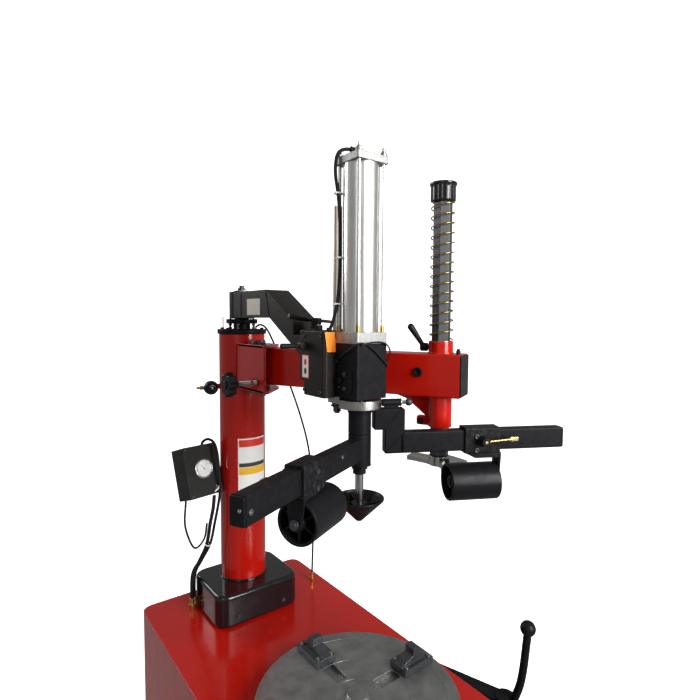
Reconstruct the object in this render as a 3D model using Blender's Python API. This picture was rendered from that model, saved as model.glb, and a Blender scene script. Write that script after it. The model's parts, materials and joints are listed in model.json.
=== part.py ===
"""A tyre changing machine with a swing arm, a mounting head and a pneumatic press arm with two rollers.

Metres, +Z up. The origin is on the floor, under the axis that the turntable and the press share.
+Y runs from that axis to the column at the back, -Y faces the operator, +X is the operator's right.
"""

from math import atan2, cos, pi, radians, sin, sqrt

import bmesh
import bpy
from mathutils import Matrix, Vector

# Fits
GAP = 0.0003  # between pieces that touch
PLAY = 0.0005  # between pieces that slide or turn on each other

# Stand
DECK_Z = 0.620
CABINET_LOW = (-0.280, -0.300, 0.0123)
CABINET_HIGH = (0.280, 0.740, DECK_Z)
CABINET_WALL = 0.004
COLUMN_Y = 0.595
COLUMN_RADIUS = 0.070
COLUMN_TOP = 1.480
COLUMN_BASE_TOP = 0.718
CAP_TOP = 1.495
GAUGE_CENTRE = (-0.135, 0.630, 1.056)
GAUGE_SIZE = (0.113, 0.070, 0.154)
GAUGE_TILT = radians(-18)
GAUGE_TURN = radians(10)

# Swing arm: hinged on a bracket in front of the column, with the hexagonal shaft at its end
HINGE_Y = 0.475
SWING_ANGLE = radians(-63.6)
SHAFT_REACH = 0.547
BEAM_HALF_WIDTH = 0.040
BEAM_LOW = 1.339
BEAM_HIGH = 1.444
SHAFT_ACROSS_FLATS = 0.041
SHAFT_TOP = 1.858
HEAD_Z = 1.165
SHAFT_X = SHAFT_REACH * cos(SWING_ANGLE)
SHAFT_Y = HINGE_Y + SHAFT_REACH * sin(SWING_ANGLE)
STOP_X = -0.128
STOP_Y = 0.404
STOP_Z = 1.3485
COLLAR_SCREW_Z = 1.459
SPRING_LOW = 1.4775
SPRING_HIGH = 1.8085
SPRING_RADIUS = 0.0278
SPRING_TURNS = 15
SPRING_SIDES = 8

# Gooseneck arm: turns on the column and carries the press on an elbow
GOOSENECK_LOW = 1.530
GOOSENECK_HIGH = 1.607
GOOSENECK_SLOPE = 0.5856
ELBOW_Y = 0.175

# Press: a pneumatic cylinder on the axis, with a square foot
PRESS_HALF = 0.042
TIE_ROD_OFFSET = 0.0335
BLOCK_LOW = 1.355
BLOCK_HIGH = 1.474
BARREL_LOW = 1.4993
BARREL_HIGH = 1.8577
BARREL_RADIUS = 0.0395
PLATE_LOW = 1.332
PLATE_HIGH = 1.351
SPINDLE_RADIUS = 0.0166
GUIDE_ROD_Y = 0.086
PISTON_ROD_RADIUS = 0.011

# Roller arms: square tubes that turn on the spindle under the plate
ARM_HALF_WIDTH = 0.015
ARM_HALF_HEIGHT = 0.024
TUBE_WALL = 0.003
SLEEVE_WALL = 0.0055
RIGHT_ANGLE = radians(-28)
LEFT_ANGLE = radians(-154)
RIGHT_ARM_END = 0.482
LEFT_ARM_END = 0.418
RIGHT_TUBE_MID = 1.2525
LEFT_TUBE_MID = 1.2415
RIGHT_ROLLER_Z = 1.154
LEFT_ROLLER_Z = 1.163
ROLLER_RADIUS = 0.0425
ROLLER_LENGTH = 0.116
RIGHT_ROLLER_END = 0.3215
LEFT_ROLLER_END = 0.2580
CONE_RIM_Z = 1.129
CONE_TIP_Z = 1.076

# Turntable, drive and pedals inside and on the cabinet
TABLE_RADIUS = 0.235
TABLE_LOW = 0.640
TABLE_HIGH = 0.665
JAW_REST = 0.170
JAW_COUNT = 4
WORM_Y = 0.070
WORM_Z = 0.470
MOTOR_Z = 0.200
BELT_X = 0.190
LARGE_PULLEY = 0.080
SMALL_PULLEY = 0.035
PEDAL_Y = -0.210
PEDAL_Z = 0.090
PEDAL_XS = (-0.120, 0.0, 0.120)

# Bead breaker on the right side of the cabinet
BREAKER_PIVOT = (0.380, 0.520)
BREAKER_ANGLE = radians(-72)
BREAKER_REACH = 0.560
BREAKER_Z = 0.330
BREAKER_ROD_Y = 0.330

# Colours: red, green, blue, roughness, metallic
RED_PAINT = (0.37, 0.007, 0.003, 0.25, 0.0)
BLACK_PAINT = (0.010, 0.010, 0.011, 0.45, 0.0)
BROWN_BLACK_PAINT = (0.030, 0.026, 0.022, 0.50, 0.0)
BLACK_PLASTIC = (0.012, 0.012, 0.013, 0.40, 0.0)
CAST_GREY = (0.17, 0.17, 0.16, 0.50, 0.8)
BRUSHED_ALUMINIUM = (0.62, 0.60, 0.56, 0.30, 1.0)
ZINC = (0.45, 0.44, 0.41, 0.35, 1.0)
STEEL = (0.55, 0.55, 0.55, 0.25, 1.0)
DARK_STEEL = (0.045, 0.048, 0.052, 0.35, 0.7)
GOLD_ZINC = (0.55, 0.36, 0.12, 0.35, 1.0)
RUBBER = (0.015, 0.015, 0.015, 0.80, 0.0)


def clear_scene():
    for obj in list(bpy.data.objects):
        bpy.data.objects.remove(obj, do_unlink=True)


def material(name, look):
    red, green, blue, roughness, metallic = look
    made = bpy.data.materials.new(name)
    made.use_nodes = True
    shader = made.node_tree.nodes["Principled BSDF"]
    shader.inputs["Base Color"].default_value = (red, green, blue, 1.0)
    shader.inputs["Roughness"].default_value = roughness
    shader.inputs["Metallic"].default_value = metallic
    return made


def pivot(name, x=0.0, y=0.0, z=0.0, turn=0.0):
    """An empty on a joint's axis. The pieces of its body hang from it and are modelled around it."""
    empty = bpy.data.objects.new(name, None)
    empty.empty_display_size = 0.05
    empty.location = (x, y, z)
    empty.rotation_euler = (0.0, 0.0, turn)
    bpy.context.scene.collection.objects.link(empty)
    return empty


def solid(bm):
    """A new object from a bmesh, which it frees."""
    bmesh.ops.recalc_face_normals(bm, faces=bm.faces)
    mesh = bpy.data.meshes.new("solid")
    bm.to_mesh(mesh)
    bm.free()
    obj = bpy.data.objects.new("solid", mesh)
    bpy.context.scene.collection.objects.link(obj)
    return obj


def box(low, high):
    bm = bmesh.new()
    bmesh.ops.create_cube(bm, size=1.0)
    size = Vector(high) - Vector(low)
    middle = (Vector(high) + Vector(low)) / 2
    place = Matrix.Translation(middle) @ Matrix.Diagonal((*size, 1.0))
    bmesh.ops.transform(bm, matrix=place, verts=bm.verts)
    return solid(bm)


def rod(start, end, radius, sides=16, end_radius=None):
    """A cylinder or a cone from start to end."""
    start, end = Vector(start), Vector(end)
    along = end - start
    bm = bmesh.new()
    bmesh.ops.create_cone(
        bm,
        cap_ends=True,
        segments=sides,
        radius1=radius,
        radius2=radius if end_radius is None else end_radius,
        depth=along.length,
    )
    aim = along.to_track_quat("Z", "Y").to_matrix().to_4x4()
    bmesh.ops.transform(bm, matrix=Matrix.Translation((start + end) / 2) @ aim, verts=bm.verts)
    return solid(bm)


def ball(centre, radius, sides=10):
    bm = bmesh.new()
    bmesh.ops.create_uvsphere(bm, u_segments=sides, v_segments=sides // 2 + 1, radius=radius)
    bmesh.ops.translate(bm, vec=centre, verts=bm.verts)
    return solid(bm)


PLANES = {
    "XY": lambda u, v, depth: (u, v, depth),
    "XZ": lambda u, v, depth: (u, depth, v),
    "YZ": lambda u, v, depth: (depth, u, v),
}


def prism(outline, low, high, plane="XY"):
    """An outline drawn in one plane and extruded from low to high across it."""
    place = PLANES[plane]
    bm = bmesh.new()
    face = bm.faces.new([bm.verts.new(place(u, v, low)) for u, v in outline])
    side = bmesh.ops.extrude_face_region(bm, geom=[face])["geom"]
    step = Vector(place(0, 0, high)) - Vector(place(0, 0, low))
    bmesh.ops.translate(bm, vec=step, verts=[part for part in side if isinstance(part, bmesh.types.BMVert)])
    return solid(bm)


def turned(profile, sides=28, centre=(0.0, 0.0)):
    """A closed profile of (radius, height) points spun about a vertical axis."""
    bm = bmesh.new()
    points = [bm.verts.new((radius, 0.0, height)) for radius, height in profile]
    pairs = [pair for pair in zip(points, points[1:] + points[:1]) if pair[0].co.x + pair[1].co.x > 0]
    edges = [bm.edges.new(pair) for pair in pairs]
    bmesh.ops.spin(
        bm, geom=points + edges, axis=(0, 0, 1), cent=(0, 0, 0), steps=sides, angle=2 * pi, use_merge=True
    )
    bmesh.ops.remove_doubles(bm, verts=bm.verts, dist=1e-6)
    bmesh.ops.dissolve_degenerate(bm, dist=1e-7, edges=bm.edges)
    bmesh.ops.translate(bm, vec=(*centre, 0.0), verts=bm.verts)
    return solid(bm)


def tube(low, high, outer, inner, sides=28, centre=(0.0, 0.0)):
    return turned([(inner, low), (outer, low), (outer, high), (inner, high)], sides, centre)


def lay_along_x(obj, height):
    """Turns a shape made about the vertical axis so that its heights run along X, at the given height."""
    obj.data.transform(Matrix.Translation((0, 0, height)) @ Matrix.Rotation(pi / 2, 4, "Y"))
    return obj


def apply_boolean(obj, tool, operation):
    modifier = obj.modifiers.new(operation, "BOOLEAN")
    modifier.operation = operation
    modifier.object = tool
    apply_modifiers(obj)
    bpy.data.objects.remove(tool, do_unlink=True)


def apply_modifiers(obj):
    graph = bpy.context.evaluated_depsgraph_get()
    mesh = bpy.data.meshes.new_from_object(obj.evaluated_get(graph))
    obj.modifiers.clear()
    obj.data = mesh


def joined(obj, *others):
    for other in others:
        apply_boolean(obj, other, "UNION")
    return obj


def cut(obj, *tools):
    for tool in tools:
        apply_boolean(obj, tool, "DIFFERENCE")
    return obj


def rounded(obj, width, segments=2, upright_only=False):
    """Rounds the sharp edges, or only the upright ones."""
    bm = bmesh.new()
    bm.from_mesh(obj.data)
    edges = []
    for edge in bm.edges:
        along = (edge.verts[1].co - edge.verts[0].co).normalized()
        sharp = edge.is_manifold and edge.calc_face_angle() > radians(40)
        if sharp and (abs(along.z) > 0.99 or not upright_only):
            edges.append(edge)
    bmesh.ops.bevel(bm, geom=edges, offset=width, segments=segments, profile=0.5, affect="EDGES")
    bm.to_mesh(obj.data)
    bm.free()
    return obj


def part(name, obj, look, parent=None):
    """Names a finished solid, gives it its material and hangs it from its body's empty."""
    obj.name = name
    obj.data.name = name
    obj.data.materials.clear()
    obj.data.materials.append(material(name, look))
    obj.parent = parent
    if obj.type == "MESH":
        obj.data.shade_smooth()
        obj.data.set_sharp_from_angle(angle=radians(35))
    return obj


def smooth_route(points, spacing):
    """Points at even steps along a smooth curve through the given ones."""
    ends = [2 * points[0] - points[1], *points, 2 * points[-1] - points[-2]]
    route = []
    for a, b, c, d in zip(ends, ends[1:], ends[2:], ends[3:]):
        steps = max(1, round((c - b).length / spacing))
        for step in range(steps):
            t = step / steps
            square = 2 * a - 5 * b + 4 * c - d
            cube = 3 * b - a - 3 * c + d
            route.append(0.5 * (2 * b + (c - a) * t + square * t**2 + cube * t**3))
    return [*route, points[-1]]


def cord(points, radius, resolution=2):
    """A round tube along a list of points, with filled ends."""
    curve = bpy.data.curves.new("cord", "CURVE")
    curve.dimensions = "3D"
    curve.bevel_depth = radius
    curve.bevel_resolution = resolution
    curve.use_fill_caps = True
    spline = curve.splines.new("POLY")
    spline.points.add(len(points) - 1)
    for target, point in zip(spline.points, points):
        target.co = (*point, 1.0)
    obj = bpy.data.objects.new("cord", curve)
    bpy.context.scene.collection.objects.link(obj)
    return obj


def hose(points, radius, spacing=0.018):
    return cord(smooth_route([Vector(point) for point in points], spacing), radius)


def circle(radius, sides, centre=(0.0, 0.0), start=0.0, sweep=2 * pi):
    """Points on an arc. A full circle leaves out the point that would repeat."""
    count = sides if sweep >= 2 * pi else sides + 1
    angles = [start + sweep * step / sides for step in range(count)]
    return [(centre[0] + radius * cos(angle), centre[1] + radius * sin(angle)) for angle in angles]


# Stand ---------------------------------------------------------------------------------------------


def base_plate():
    plate = rounded(box((-0.310, -0.340, 0.0), (0.310, 0.780, 0.012)), 0.030, 3, upright_only=True)
    for x in (-0.285, 0.285):
        for y in (-0.315, 0.755):
            cut(plate, rod((x, y, -0.01), (x, y, 0.02), 0.008, 12))
    x, y = BREAKER_PIVOT
    ear = rounded(box((0.250, y - 0.060, 0.0), (x + 0.045, y + 0.060, 0.012)), 0.030, 3, upright_only=True)
    collar, pin = 0.024, 0.016
    post_outline = [
        (0.0, 0.004),
        (collar, 0.004),
        (collar, 0.2495),
        (pin, 0.2495),
        (pin, 0.480),
        (0.0, 0.480),
    ]
    post = turned(post_outline, 20, (x, y))
    part("base_plate", joined(plate, ear, post), RED_PAINT)


def cabinet():
    """A pressed box, open underneath, with openings for the pedals, the spindle and the breaker's rod."""
    low, high = Vector(CABINET_LOW), Vector(CABINET_HIGH)
    wall = Vector((CABINET_WALL,) * 3)
    body = rounded(box(low, high), 0.030, 3, upright_only=True)
    inner = box(low + Vector((wall.x, wall.y, -0.05)), high - wall)
    cut(body, rounded(inner, 0.026, 3, upright_only=True))
    cut(body, box((-0.200, -0.350, 0.030), (0.200, -0.250, 0.150)))
    cut(body, rod((0, 0, 0.55), (0, 0, 0.70), 0.060, 32))
    cut(body, box((0.250, BREAKER_ROD_Y - 0.030, 0.310), (0.300, BREAKER_ROD_Y + 0.030, 0.350)))
    part("cabinet", body, RED_PAINT)


def bead_pad():
    pad = box((0.2803, -0.170, 0.170), (0.305, 0.090, 0.470))
    part("bead_pad", rounded(pad, 0.012, 2), RUBBER)


def column_base():
    """The cover round the column's foot."""
    cover = box((-0.135, 0.470, DECK_Z + GAP), (0.135, 0.685, COLUMN_BASE_TOP))
    rounded(cover, 0.045, 4, upright_only=True)
    cut(cover, rod((0, COLUMN_Y, 0.60), (0, COLUMN_Y, 0.80), COLUMN_RADIUS + GAP, 32))
    part("column_base", cover, BLACK_PLASTIC)


def column():
    low = DECK_Z + GAP
    pipe = tube(low, COLUMN_TOP, COLUMN_RADIUS, COLUMN_RADIUS - 0.005, 32, (0, COLUMN_Y))
    bracket = box((-0.0759, 0.622, 1.000), (-0.061, 0.630, 1.060))
    part("column", joined(pipe, bracket), RED_PAINT)


def column_cap():
    """A cover plate, the bearing flange and the spindle that the gooseneck arm turns on."""
    profile = [
        (0.0, COLUMN_TOP + GAP),
        (0.075, COLUMN_TOP + GAP),
        (0.075, CAP_TOP),
        (0.048, CAP_TOP),
        (0.048, 1.5265),
        (0.022, 1.5265),
        (0.022, 1.618),
        (0.014, 1.618),
        (0.014, 1.630),
        (0.0, 1.630),
    ]
    part("column_cap", turned(profile, 24, (0, COLUMN_Y)), BLACK_PAINT)


def arm_bracket():
    """A C-shaped bracket on the column: a side plate and two flanges that hold the hinge pin."""
    left, front = -0.0455, 0.364
    flange = [(left, 0.560), (left, front), (left + 0.014, front), (0.045, 0.440), (0.045, 0.560)]
    top = prism(flange, 1.4455, 1.4535)
    bottom = prism(flange, 1.3190, 1.3280)
    side = box((left, front, 1.3200), (left + 0.008, 0.560, 1.4530))
    bracket = joined(side, top, bottom)
    cut(bracket, rod((0, COLUMN_Y, 1.2), (0, COLUMN_Y, 1.6), COLUMN_RADIUS + GAP, 32))
    cut(bracket, rod((0, HINGE_Y, 1.2), (0, HINGE_Y, 1.6), 0.0125, 20))
    cut(bracket, rod((-0.06, STOP_Y, STOP_Z), (-0.02, STOP_Y, STOP_Z), 0.0065, 12))
    part("arm_bracket", bracket, RED_PAINT)


def hinge_pin():
    profile = [
        (0.0, 1.3050),
        (0.017, 1.3050),
        (0.017, 1.3187),
        (0.0122, 1.3187),
        (0.0122, 1.4538),
        (0.017, 1.4538),
        (0.017, 1.4640),
        (0.0, 1.4640),
    ]
    part("hinge_pin", turned(profile, 20, (0, HINGE_Y)), DARK_STEEL)


def gauge_box():
    """A pressure gauge in a square case, leaning back so that it can be read from above."""
    half = Vector(GAUGE_SIZE) / 2
    case = rounded(box(-half, half), 0.004, 2)
    rim = rod((0.002, -half.y + 0.002, 0.005), (0.002, -half.y - 0.006, 0.005), 0.0295, 28)
    joined(case, rim)
    place = Matrix.Rotation(GAUGE_TURN, 4, "Z") @ Matrix.Rotation(GAUGE_TILT, 4, "X")
    case.data.transform(Matrix.Translation(GAUGE_CENTRE) @ place)
    cut(case, rod((0, COLUMN_Y, 0.9), (0, COLUMN_Y, 1.3), COLUMN_RADIUS + 0.002, 32))
    cut(case, box((-0.0769, 0.621, 0.999), (-0.050, 0.631, 1.061)))
    part("gauge_box", case, BLACK_PLASTIC)


def regulator():
    """A small round pressure regulator on a stub that screws into the column."""
    body = rod((-0.117, 0.575, 1.3225), (-0.117, 0.548, 1.3225), 0.020, 24)
    stub = rod((-0.117, 0.566, 1.3225), (-0.0665, 0.586, 1.3225), 0.0055, 12)
    regulator_body = joined(body, stub)
    cut(regulator_body, rod((0, COLUMN_Y, 1.2), (0, COLUMN_Y, 1.4), COLUMN_RADIUS + GAP, 32))
    part("regulator", regulator_body, BLACK_PLASTIC)


def air_hoses():
    """Two hoses from the gauge box down to the column's foot, and the service hose at the column's right."""
    thin = [
        (-0.1785, 0.6123, 0.9765),
        (-0.1806, 0.6139, 0.8985),
        (-0.1599, 0.5980, 0.8335),
        (-0.1300, 0.5955, 0.8530),
        (-0.1200, 0.5958, 0.9000),
    ]
    thick = [
        (-0.1000, 0.5850, 0.9860),
        (-0.1040, 0.5860, 0.9450),
        (-0.1120, 0.5900, 0.9000),
        (-0.1180, 0.6050, 0.8300),
        (-0.1300, 0.6350, 0.7700),
        (-0.1480, 0.6500, 0.7200),
        (-0.1500, 0.6500, 0.6203),
    ]
    service = [
        (0.0560, 0.6150, 1.4990),
        (0.0760, 0.6150, 1.5080),
        (0.1000, 0.6080, 1.4850),
        (0.1410, 0.6000, 1.3900),
        (0.2000, 0.5700, 1.2000),
        (0.2320, 0.5600, 1.0500),
        (0.2450, 0.5600, 0.8500),
        (0.2400, 0.5600, 0.6203),
    ]
    part("gauge_hose_thin", hose(thin, 0.0032, 0.012), RUBBER)
    part("gauge_hose_thick", hose(thick, 0.0055), RUBBER)
    part("service_hose", hose(service, 0.0032), RUBBER)


def motor():
    """The electric motor, with its shaft pointing at the belt."""
    body = lay_along_x(turned([(0.0, -0.110), (0.062, -0.110), (0.062, 0.110), (0.0, 0.110)], 24), 0.0)
    shaft = rod((0.100, 0, 0), (0.200, 0, 0), 0.0095, 16)
    foot = box((-0.080, -0.060, -0.1873), (0.080, 0.060, -0.040))
    motor_body = joined(body, foot, shaft)
    motor_body.data.transform(Matrix.Translation((0.0, WORM_Y, MOTOR_Z)))
    part("motor", motor_body, DARK_STEEL)


def gearbox():
    """The worm gearbox that hangs under the deck, with its input shaft pointing at the belt."""
    case = box((-0.110, -0.110, 0.400), (0.110, 0.140, DECK_Z - CABINET_WALL - GAP))
    rounded(case, 0.012, 2)
    shaft = rod((0.100, WORM_Y, WORM_Z), (0.205, WORM_Y, WORM_Z), 0.0120, 16)
    case = joined(case, shaft)
    cut(case, rod((0, 0, 0.48), (0, 0, 0.70), 0.0455, 32))
    part("gearbox", case, CAST_GREY)


def drive():
    """Two pulleys and the belt that runs in their grooves."""
    for name, radius, bore, height in (
        ("gearbox_pulley", LARGE_PULLEY, 0.0125, WORM_Z),
        ("motor_pulley", SMALL_PULLEY, 0.0100, MOTOR_Z),
    ):
        low, high, floor = BELT_X - 0.011, BELT_X + 0.011, radius - 0.008
        profile = [
            (bore, low),
            (radius, low),
            (radius, low + 0.004),
            (floor, low + 0.005),
            (floor, high - 0.005),
            (radius, high - 0.004),
            (radius, high),
            (bore, high),
        ]
        centre = pivot(name + "_axis", 0.0, WORM_Y, height)
        part(name, lay_along_x(turned(profile, 20), 0.0), CAST_GREY, centre)
    part("drive_belt", belt(), RUBBER)


def belt():
    """A loop with straight runs tangent to both pulleys, made as an outline with a hole."""
    spread = WORM_Z - MOTOR_Z
    inner_large, inner_small = LARGE_PULLEY - 0.0065, SMALL_PULLEY - 0.0065
    thickness = 0.006
    lean = atan2(inner_large - inner_small, sqrt(spread**2 - (inner_large - inner_small) ** 2))

    def loop(extra):
        upper = circle(inner_large + extra, 16, (WORM_Y, WORM_Z), -lean, pi + 2 * lean)
        lower = circle(inner_small + extra, 12, (WORM_Y, MOTOR_Z), pi + lean, pi - 2 * lean)
        return upper + lower

    outside = prism(loop(thickness), BELT_X - 0.005, BELT_X + 0.005, "YZ")
    return cut(outside, prism(loop(0.0), BELT_X - 0.02, BELT_X + 0.02, "YZ"))


def breaker_cylinder():
    """The bead breaker's air cylinder, lying across the cabinet."""
    end, outer, bore, floor = 0.180, 0.075, 0.014, -0.150
    outline = [(0.0, -end), (outer, -end), (outer, end), (bore, end), (bore, floor), (0.0, floor)]
    barrel = lay_along_x(turned(outline, 28), BREAKER_Z)
    barrel.data.transform(Matrix.Translation((0.0, BREAKER_ROD_Y, 0.0)))
    leg = box((-0.060, BREAKER_ROD_Y - 0.030, 0.0123), (0.060, BREAKER_ROD_Y + 0.030, 0.300))
    leg = cut(leg, rod((-0.2, BREAKER_ROD_Y, BREAKER_Z), (0.2, BREAKER_ROD_Y, BREAKER_Z), 0.060, 28))
    part("breaker_cylinder", joined(barrel, leg), BRUSHED_ALUMINIUM)


# Turntable and pedals --------------------------------------------------------------------------------


def turntable():
    """A disc on a spindle, with a groove for each jaw."""
    centre = pivot("turntable_axis")
    profile = [
        (0.0, 0.500),
        (0.045, 0.500),
        (0.045, TABLE_LOW - 0.010),
        (0.110, TABLE_LOW),
        (TABLE_RADIUS, TABLE_LOW),
        (TABLE_RADIUS, TABLE_HIGH),
        (0.0, TABLE_HIGH),
    ]
    disc = turned(profile, 40)
    for index in range(JAW_COUNT):
        groove = box((0.060, -0.0155, TABLE_HIGH - 0.012), (0.300, 0.0155, TABLE_HIGH + 0.01))
        groove.data.transform(Matrix.Rotation(index * 2 * pi / JAW_COUNT, 4, "Z"))
        cut(disc, groove)
    part("turntable", disc, CAST_GREY, centre)


def jaws():
    """Four stepped clamping jaws, each sliding in its groove."""
    steps = [
        (-0.045, 0.6535),
        (0.050, 0.6535),
        (0.050, 0.6820),
        (0.028, 0.6900),
        (0.014, 0.7150),
        (-0.006, 0.7150),
        (-0.006, 0.6980),
        (-0.030, 0.6900),
        (-0.045, 0.6820),
    ]
    for index in range(JAW_COUNT):
        outline = [(JAW_REST + u, v) for u, v in steps]
        jaw = prism(outline, -0.0150, 0.0150, "XZ")
        shoulder = box((JAW_REST - 0.045, -0.028, TABLE_HIGH + PLAY), (JAW_REST + 0.050, 0.028, 0.6820))
        centre = pivot(f"jaw_{index + 1}_slide", turn=index * 2 * pi / JAW_COUNT)
        part(f"jaw_{index + 1}", joined(jaw, shoulder), DARK_STEEL, centre)


def pedals():
    """Three pedals that turn on a cross shaft inside the cabinet and stick out at its front."""
    side = [
        (0.012, -0.006),
        (0.012, 0.014),
        (-0.110, 0.006),
        (-0.190, -0.020),
        (-0.194, -0.028),
        (-0.186, -0.032),
        (-0.110, -0.008),
    ]
    for index, x in enumerate(PEDAL_XS):
        centre = pivot(f"pedal_{index + 1}_axis", x, PEDAL_Y, PEDAL_Z)
        lever = prism(side, -0.0100, 0.0100, "YZ")
        tread = [(-0.130, 0.0000), (-0.130, -0.0120), (-0.188, -0.0320), (-0.194, -0.0230)]
        sleeve = rod((-0.045, 0, 0), (0.045, 0, 0), 0.0160, 16)
        lever = joined(lever, prism(tread, -0.0350, 0.0350, "YZ"), sleeve)
        part(f"pedal_{index + 1}", lever, BLACK_PAINT, centre)


# Bead breaker ----------------------------------------------------------------------------------------


def bead_breaker():
    """The arm beside the cabinet, its blade, and the rod that pulls it."""
    hinge = pivot("breaker_arm_axis", *BREAKER_PIVOT, 0.0, BREAKER_ANGLE)
    tube_low, tube_high = BREAKER_Z + 0.028, BREAKER_Z + 0.078
    arm = box((0.0, -0.025, tube_low), (BREAKER_REACH, 0.025, tube_high))
    barrel = rod((0, 0, 0.250), (0, 0, 0.460), 0.032, 24)
    tip = rod((BREAKER_REACH, 0, BREAKER_Z + 0.028), (BREAKER_REACH, 0, BREAKER_Z + 0.078), 0.030, 20)
    handle = rod((BREAKER_REACH + 0.01, 0, tube_high - 0.02), (BREAKER_REACH + 0.060, 0, 0.640), 0.012, 14)
    grip = ball((BREAKER_REACH + 0.060, 0, 0.640), 0.022)
    fork_x = (BREAKER_PIVOT[1] - BREAKER_ROD_Y) / sin(-BREAKER_ANGLE)
    fork = box((fork_x - 0.036, -0.005, 0.300), (fork_x + 0.036, 0.005, tube_low + 0.010))
    cut(fork, box((fork_x - 0.024, -0.010, 0.290), (fork_x + 0.024, 0.010, 0.350)))
    arm = joined(arm, barrel, tip, handle, grip, fork)
    cut(arm, rod((0, 0, 0.20), (0, 0, 0.50), 0.0165, 20))
    cut(arm, rod((BREAKER_REACH, 0, 0.30), (BREAKER_REACH, 0, tube_high + 0.005), 0.0125, 20))
    part("breaker_arm", arm, BLACK_PAINT, hinge)

    reach = Matrix.Rotation(BREAKER_ANGLE, 4, "Z") @ Vector((BREAKER_REACH, 0, 0))
    tip_x, tip_y = BREAKER_PIVOT[0] + reach.x, BREAKER_PIVOT[1] + reach.y
    axis = pivot("breaker_blade_axis", tip_x, tip_y, 0.0, BREAKER_ANGLE)
    post = rod((0, 0, 0.210), (0, 0, tube_high + 0.004), 0.0120, 20)
    curve = circle(0.300, 10, (0.0, -0.330), radians(65), radians(50))
    back = circle(0.292, 10, (0.0, -0.330), radians(115), radians(-50))
    blade = prism(curve + back, 0.225, BREAKER_Z + 0.020)
    web = box((-0.012, -0.035, 0.240), (0.012, 0.006, 0.330))
    blade = joined(post, blade, web)
    part("breaker_blade", blade, BLACK_PAINT, axis)

    slide = pivot("breaker_rod_slide", 0.0, BREAKER_ROD_Y, BREAKER_Z)
    bar = rod((-0.050, 0, 0), (0.490, 0, 0), 0.0115, 16)
    nut = rod((0.457, 0, 0), (0.480, 0, 0), 0.0200, 6)
    part("breaker_rod", joined(bar, nut), STEEL, slide)


# Swing arm -------------------------------------------------------------------------------------------


def swing_arm():
    """The red beam, its hinge barrel and the two guides that hold the hexagonal shaft."""
    hinge = pivot("swing_arm_axis", 0.0, HINGE_Y, 0.0, SWING_ANGLE)
    width = BEAM_HALF_WIDTH
    beam = box((0.020, -width, BEAM_LOW), (SHAFT_REACH + 0.057, width, BEAM_HIGH))
    barrel = rod((0, 0, 1.3285), (0, 0, 1.4450), 0.0300, 24)
    collar = rod((SHAFT_REACH, 0, BEAM_HIGH - 0.01), (SHAFT_REACH, 0, 1.474), 0.0300, 28)
    guide = rod((SHAFT_REACH, 0, 1.262), (SHAFT_REACH, 0, BEAM_LOW + 0.01), 0.0290, 28)
    gusset = [(0.415, 1.345), (0.470, 1.330), (0.530, 1.275), (0.530, 1.345)]
    arm = joined(beam, barrel, collar, guide, prism(gusset, -0.005, 0.005, "XZ"))
    inside = width - 0.004
    cut(arm, box((0.060, -inside, BEAM_LOW + 0.004), (0.505, inside, BEAM_HIGH - 0.004)))
    cut(arm, box((0.585, -inside, BEAM_LOW + 0.004), (0.700, inside, BEAM_HIGH - 0.004)))
    cut(arm, rod((0.300, 0, 1.330), (0.300, 0, 1.360), 0.010, 12))
    cut(arm, rod((0, 0, 1.2), (0, 0, 1.6), 0.0125, 20))
    cut(arm, hexagon(SHAFT_ACROSS_FLATS + 0.001, 1.2, 1.6, SHAFT_REACH))
    screw_start = (SHAFT_REACH - 0.06, 0, COLLAR_SCREW_Z)
    cut(arm, rod(screw_start, (SHAFT_REACH - 0.02, 0, COLLAR_SCREW_Z), 0.0055, 12))
    cut(arm, box((0.520, 0.030, 1.380), (0.574, 0.060, 1.400)))
    part("swing_arm", arm, RED_PAINT, hinge)


def hexagon(across_flats, low, high, x=0.0):
    """An upright hexagonal bar. Its corners lie further out than its flats."""
    outline = circle(across_flats / 2 / cos(pi / 6), 6, (x, 0.0), pi / 6)
    return prism(outline, low, high)


def hex_shaft():
    """The sliding shaft, with the disc at its top that the return spring pushes on."""
    slide = pivot("hex_shaft_slide", SHAFT_X, SHAFT_Y, 0.0, SWING_ANGLE)
    shaft = hexagon(SHAFT_ACROSS_FLATS, 1.190, SHAFT_TOP)
    disc = rod((0, 0, 1.812), (0, 0, SHAFT_TOP), 0.0310, 28)
    part("hex_shaft", joined(shaft, disc), DARK_STEEL, slide)

    count = SPRING_TURNS * SPRING_SIDES
    coil = []
    for step in range(count + 1):
        angle = 2 * pi * step / SPRING_SIDES
        height = SPRING_LOW + (SPRING_HIGH - SPRING_LOW) * step / count
        coil.append((SPRING_RADIUS * cos(angle), SPRING_RADIUS * sin(angle), height))
    part("return_spring", cord(coil, 0.0016, 0), GOLD_ZINC, slide)


def mount_head():
    """The mounting head: a boss under the shaft and a curved tool plate with a turned-down finger."""
    slide = pivot("mount_head_slide", SHAFT_X, SHAFT_Y)
    boss = rod((0, 0, HEAD_Z), (0, 0, 1.190 - GAP), 0.0260, 24)
    flared = circle(0.290, 4, (-0.232, 0.0), radians(-9), radians(14))
    outer = flared + circle(0.252, 6, (-0.232, 0.0), radians(10), radians(12))
    inner = circle(0.212, 10, (-0.232, 0.0), radians(22), radians(-31))
    plate = prism(outer + inner, HEAD_Z, HEAD_Z + 0.011)
    root, tip = HEAD_Z + 0.006, HEAD_Z - 0.026
    finger = prism([(-0.014, root), (0.006, root), (0.000, tip), (-0.008, tip)], -0.034, -0.016, "XZ")
    part("mount_head", joined(boss, plate, finger), STEEL, slide)


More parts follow.
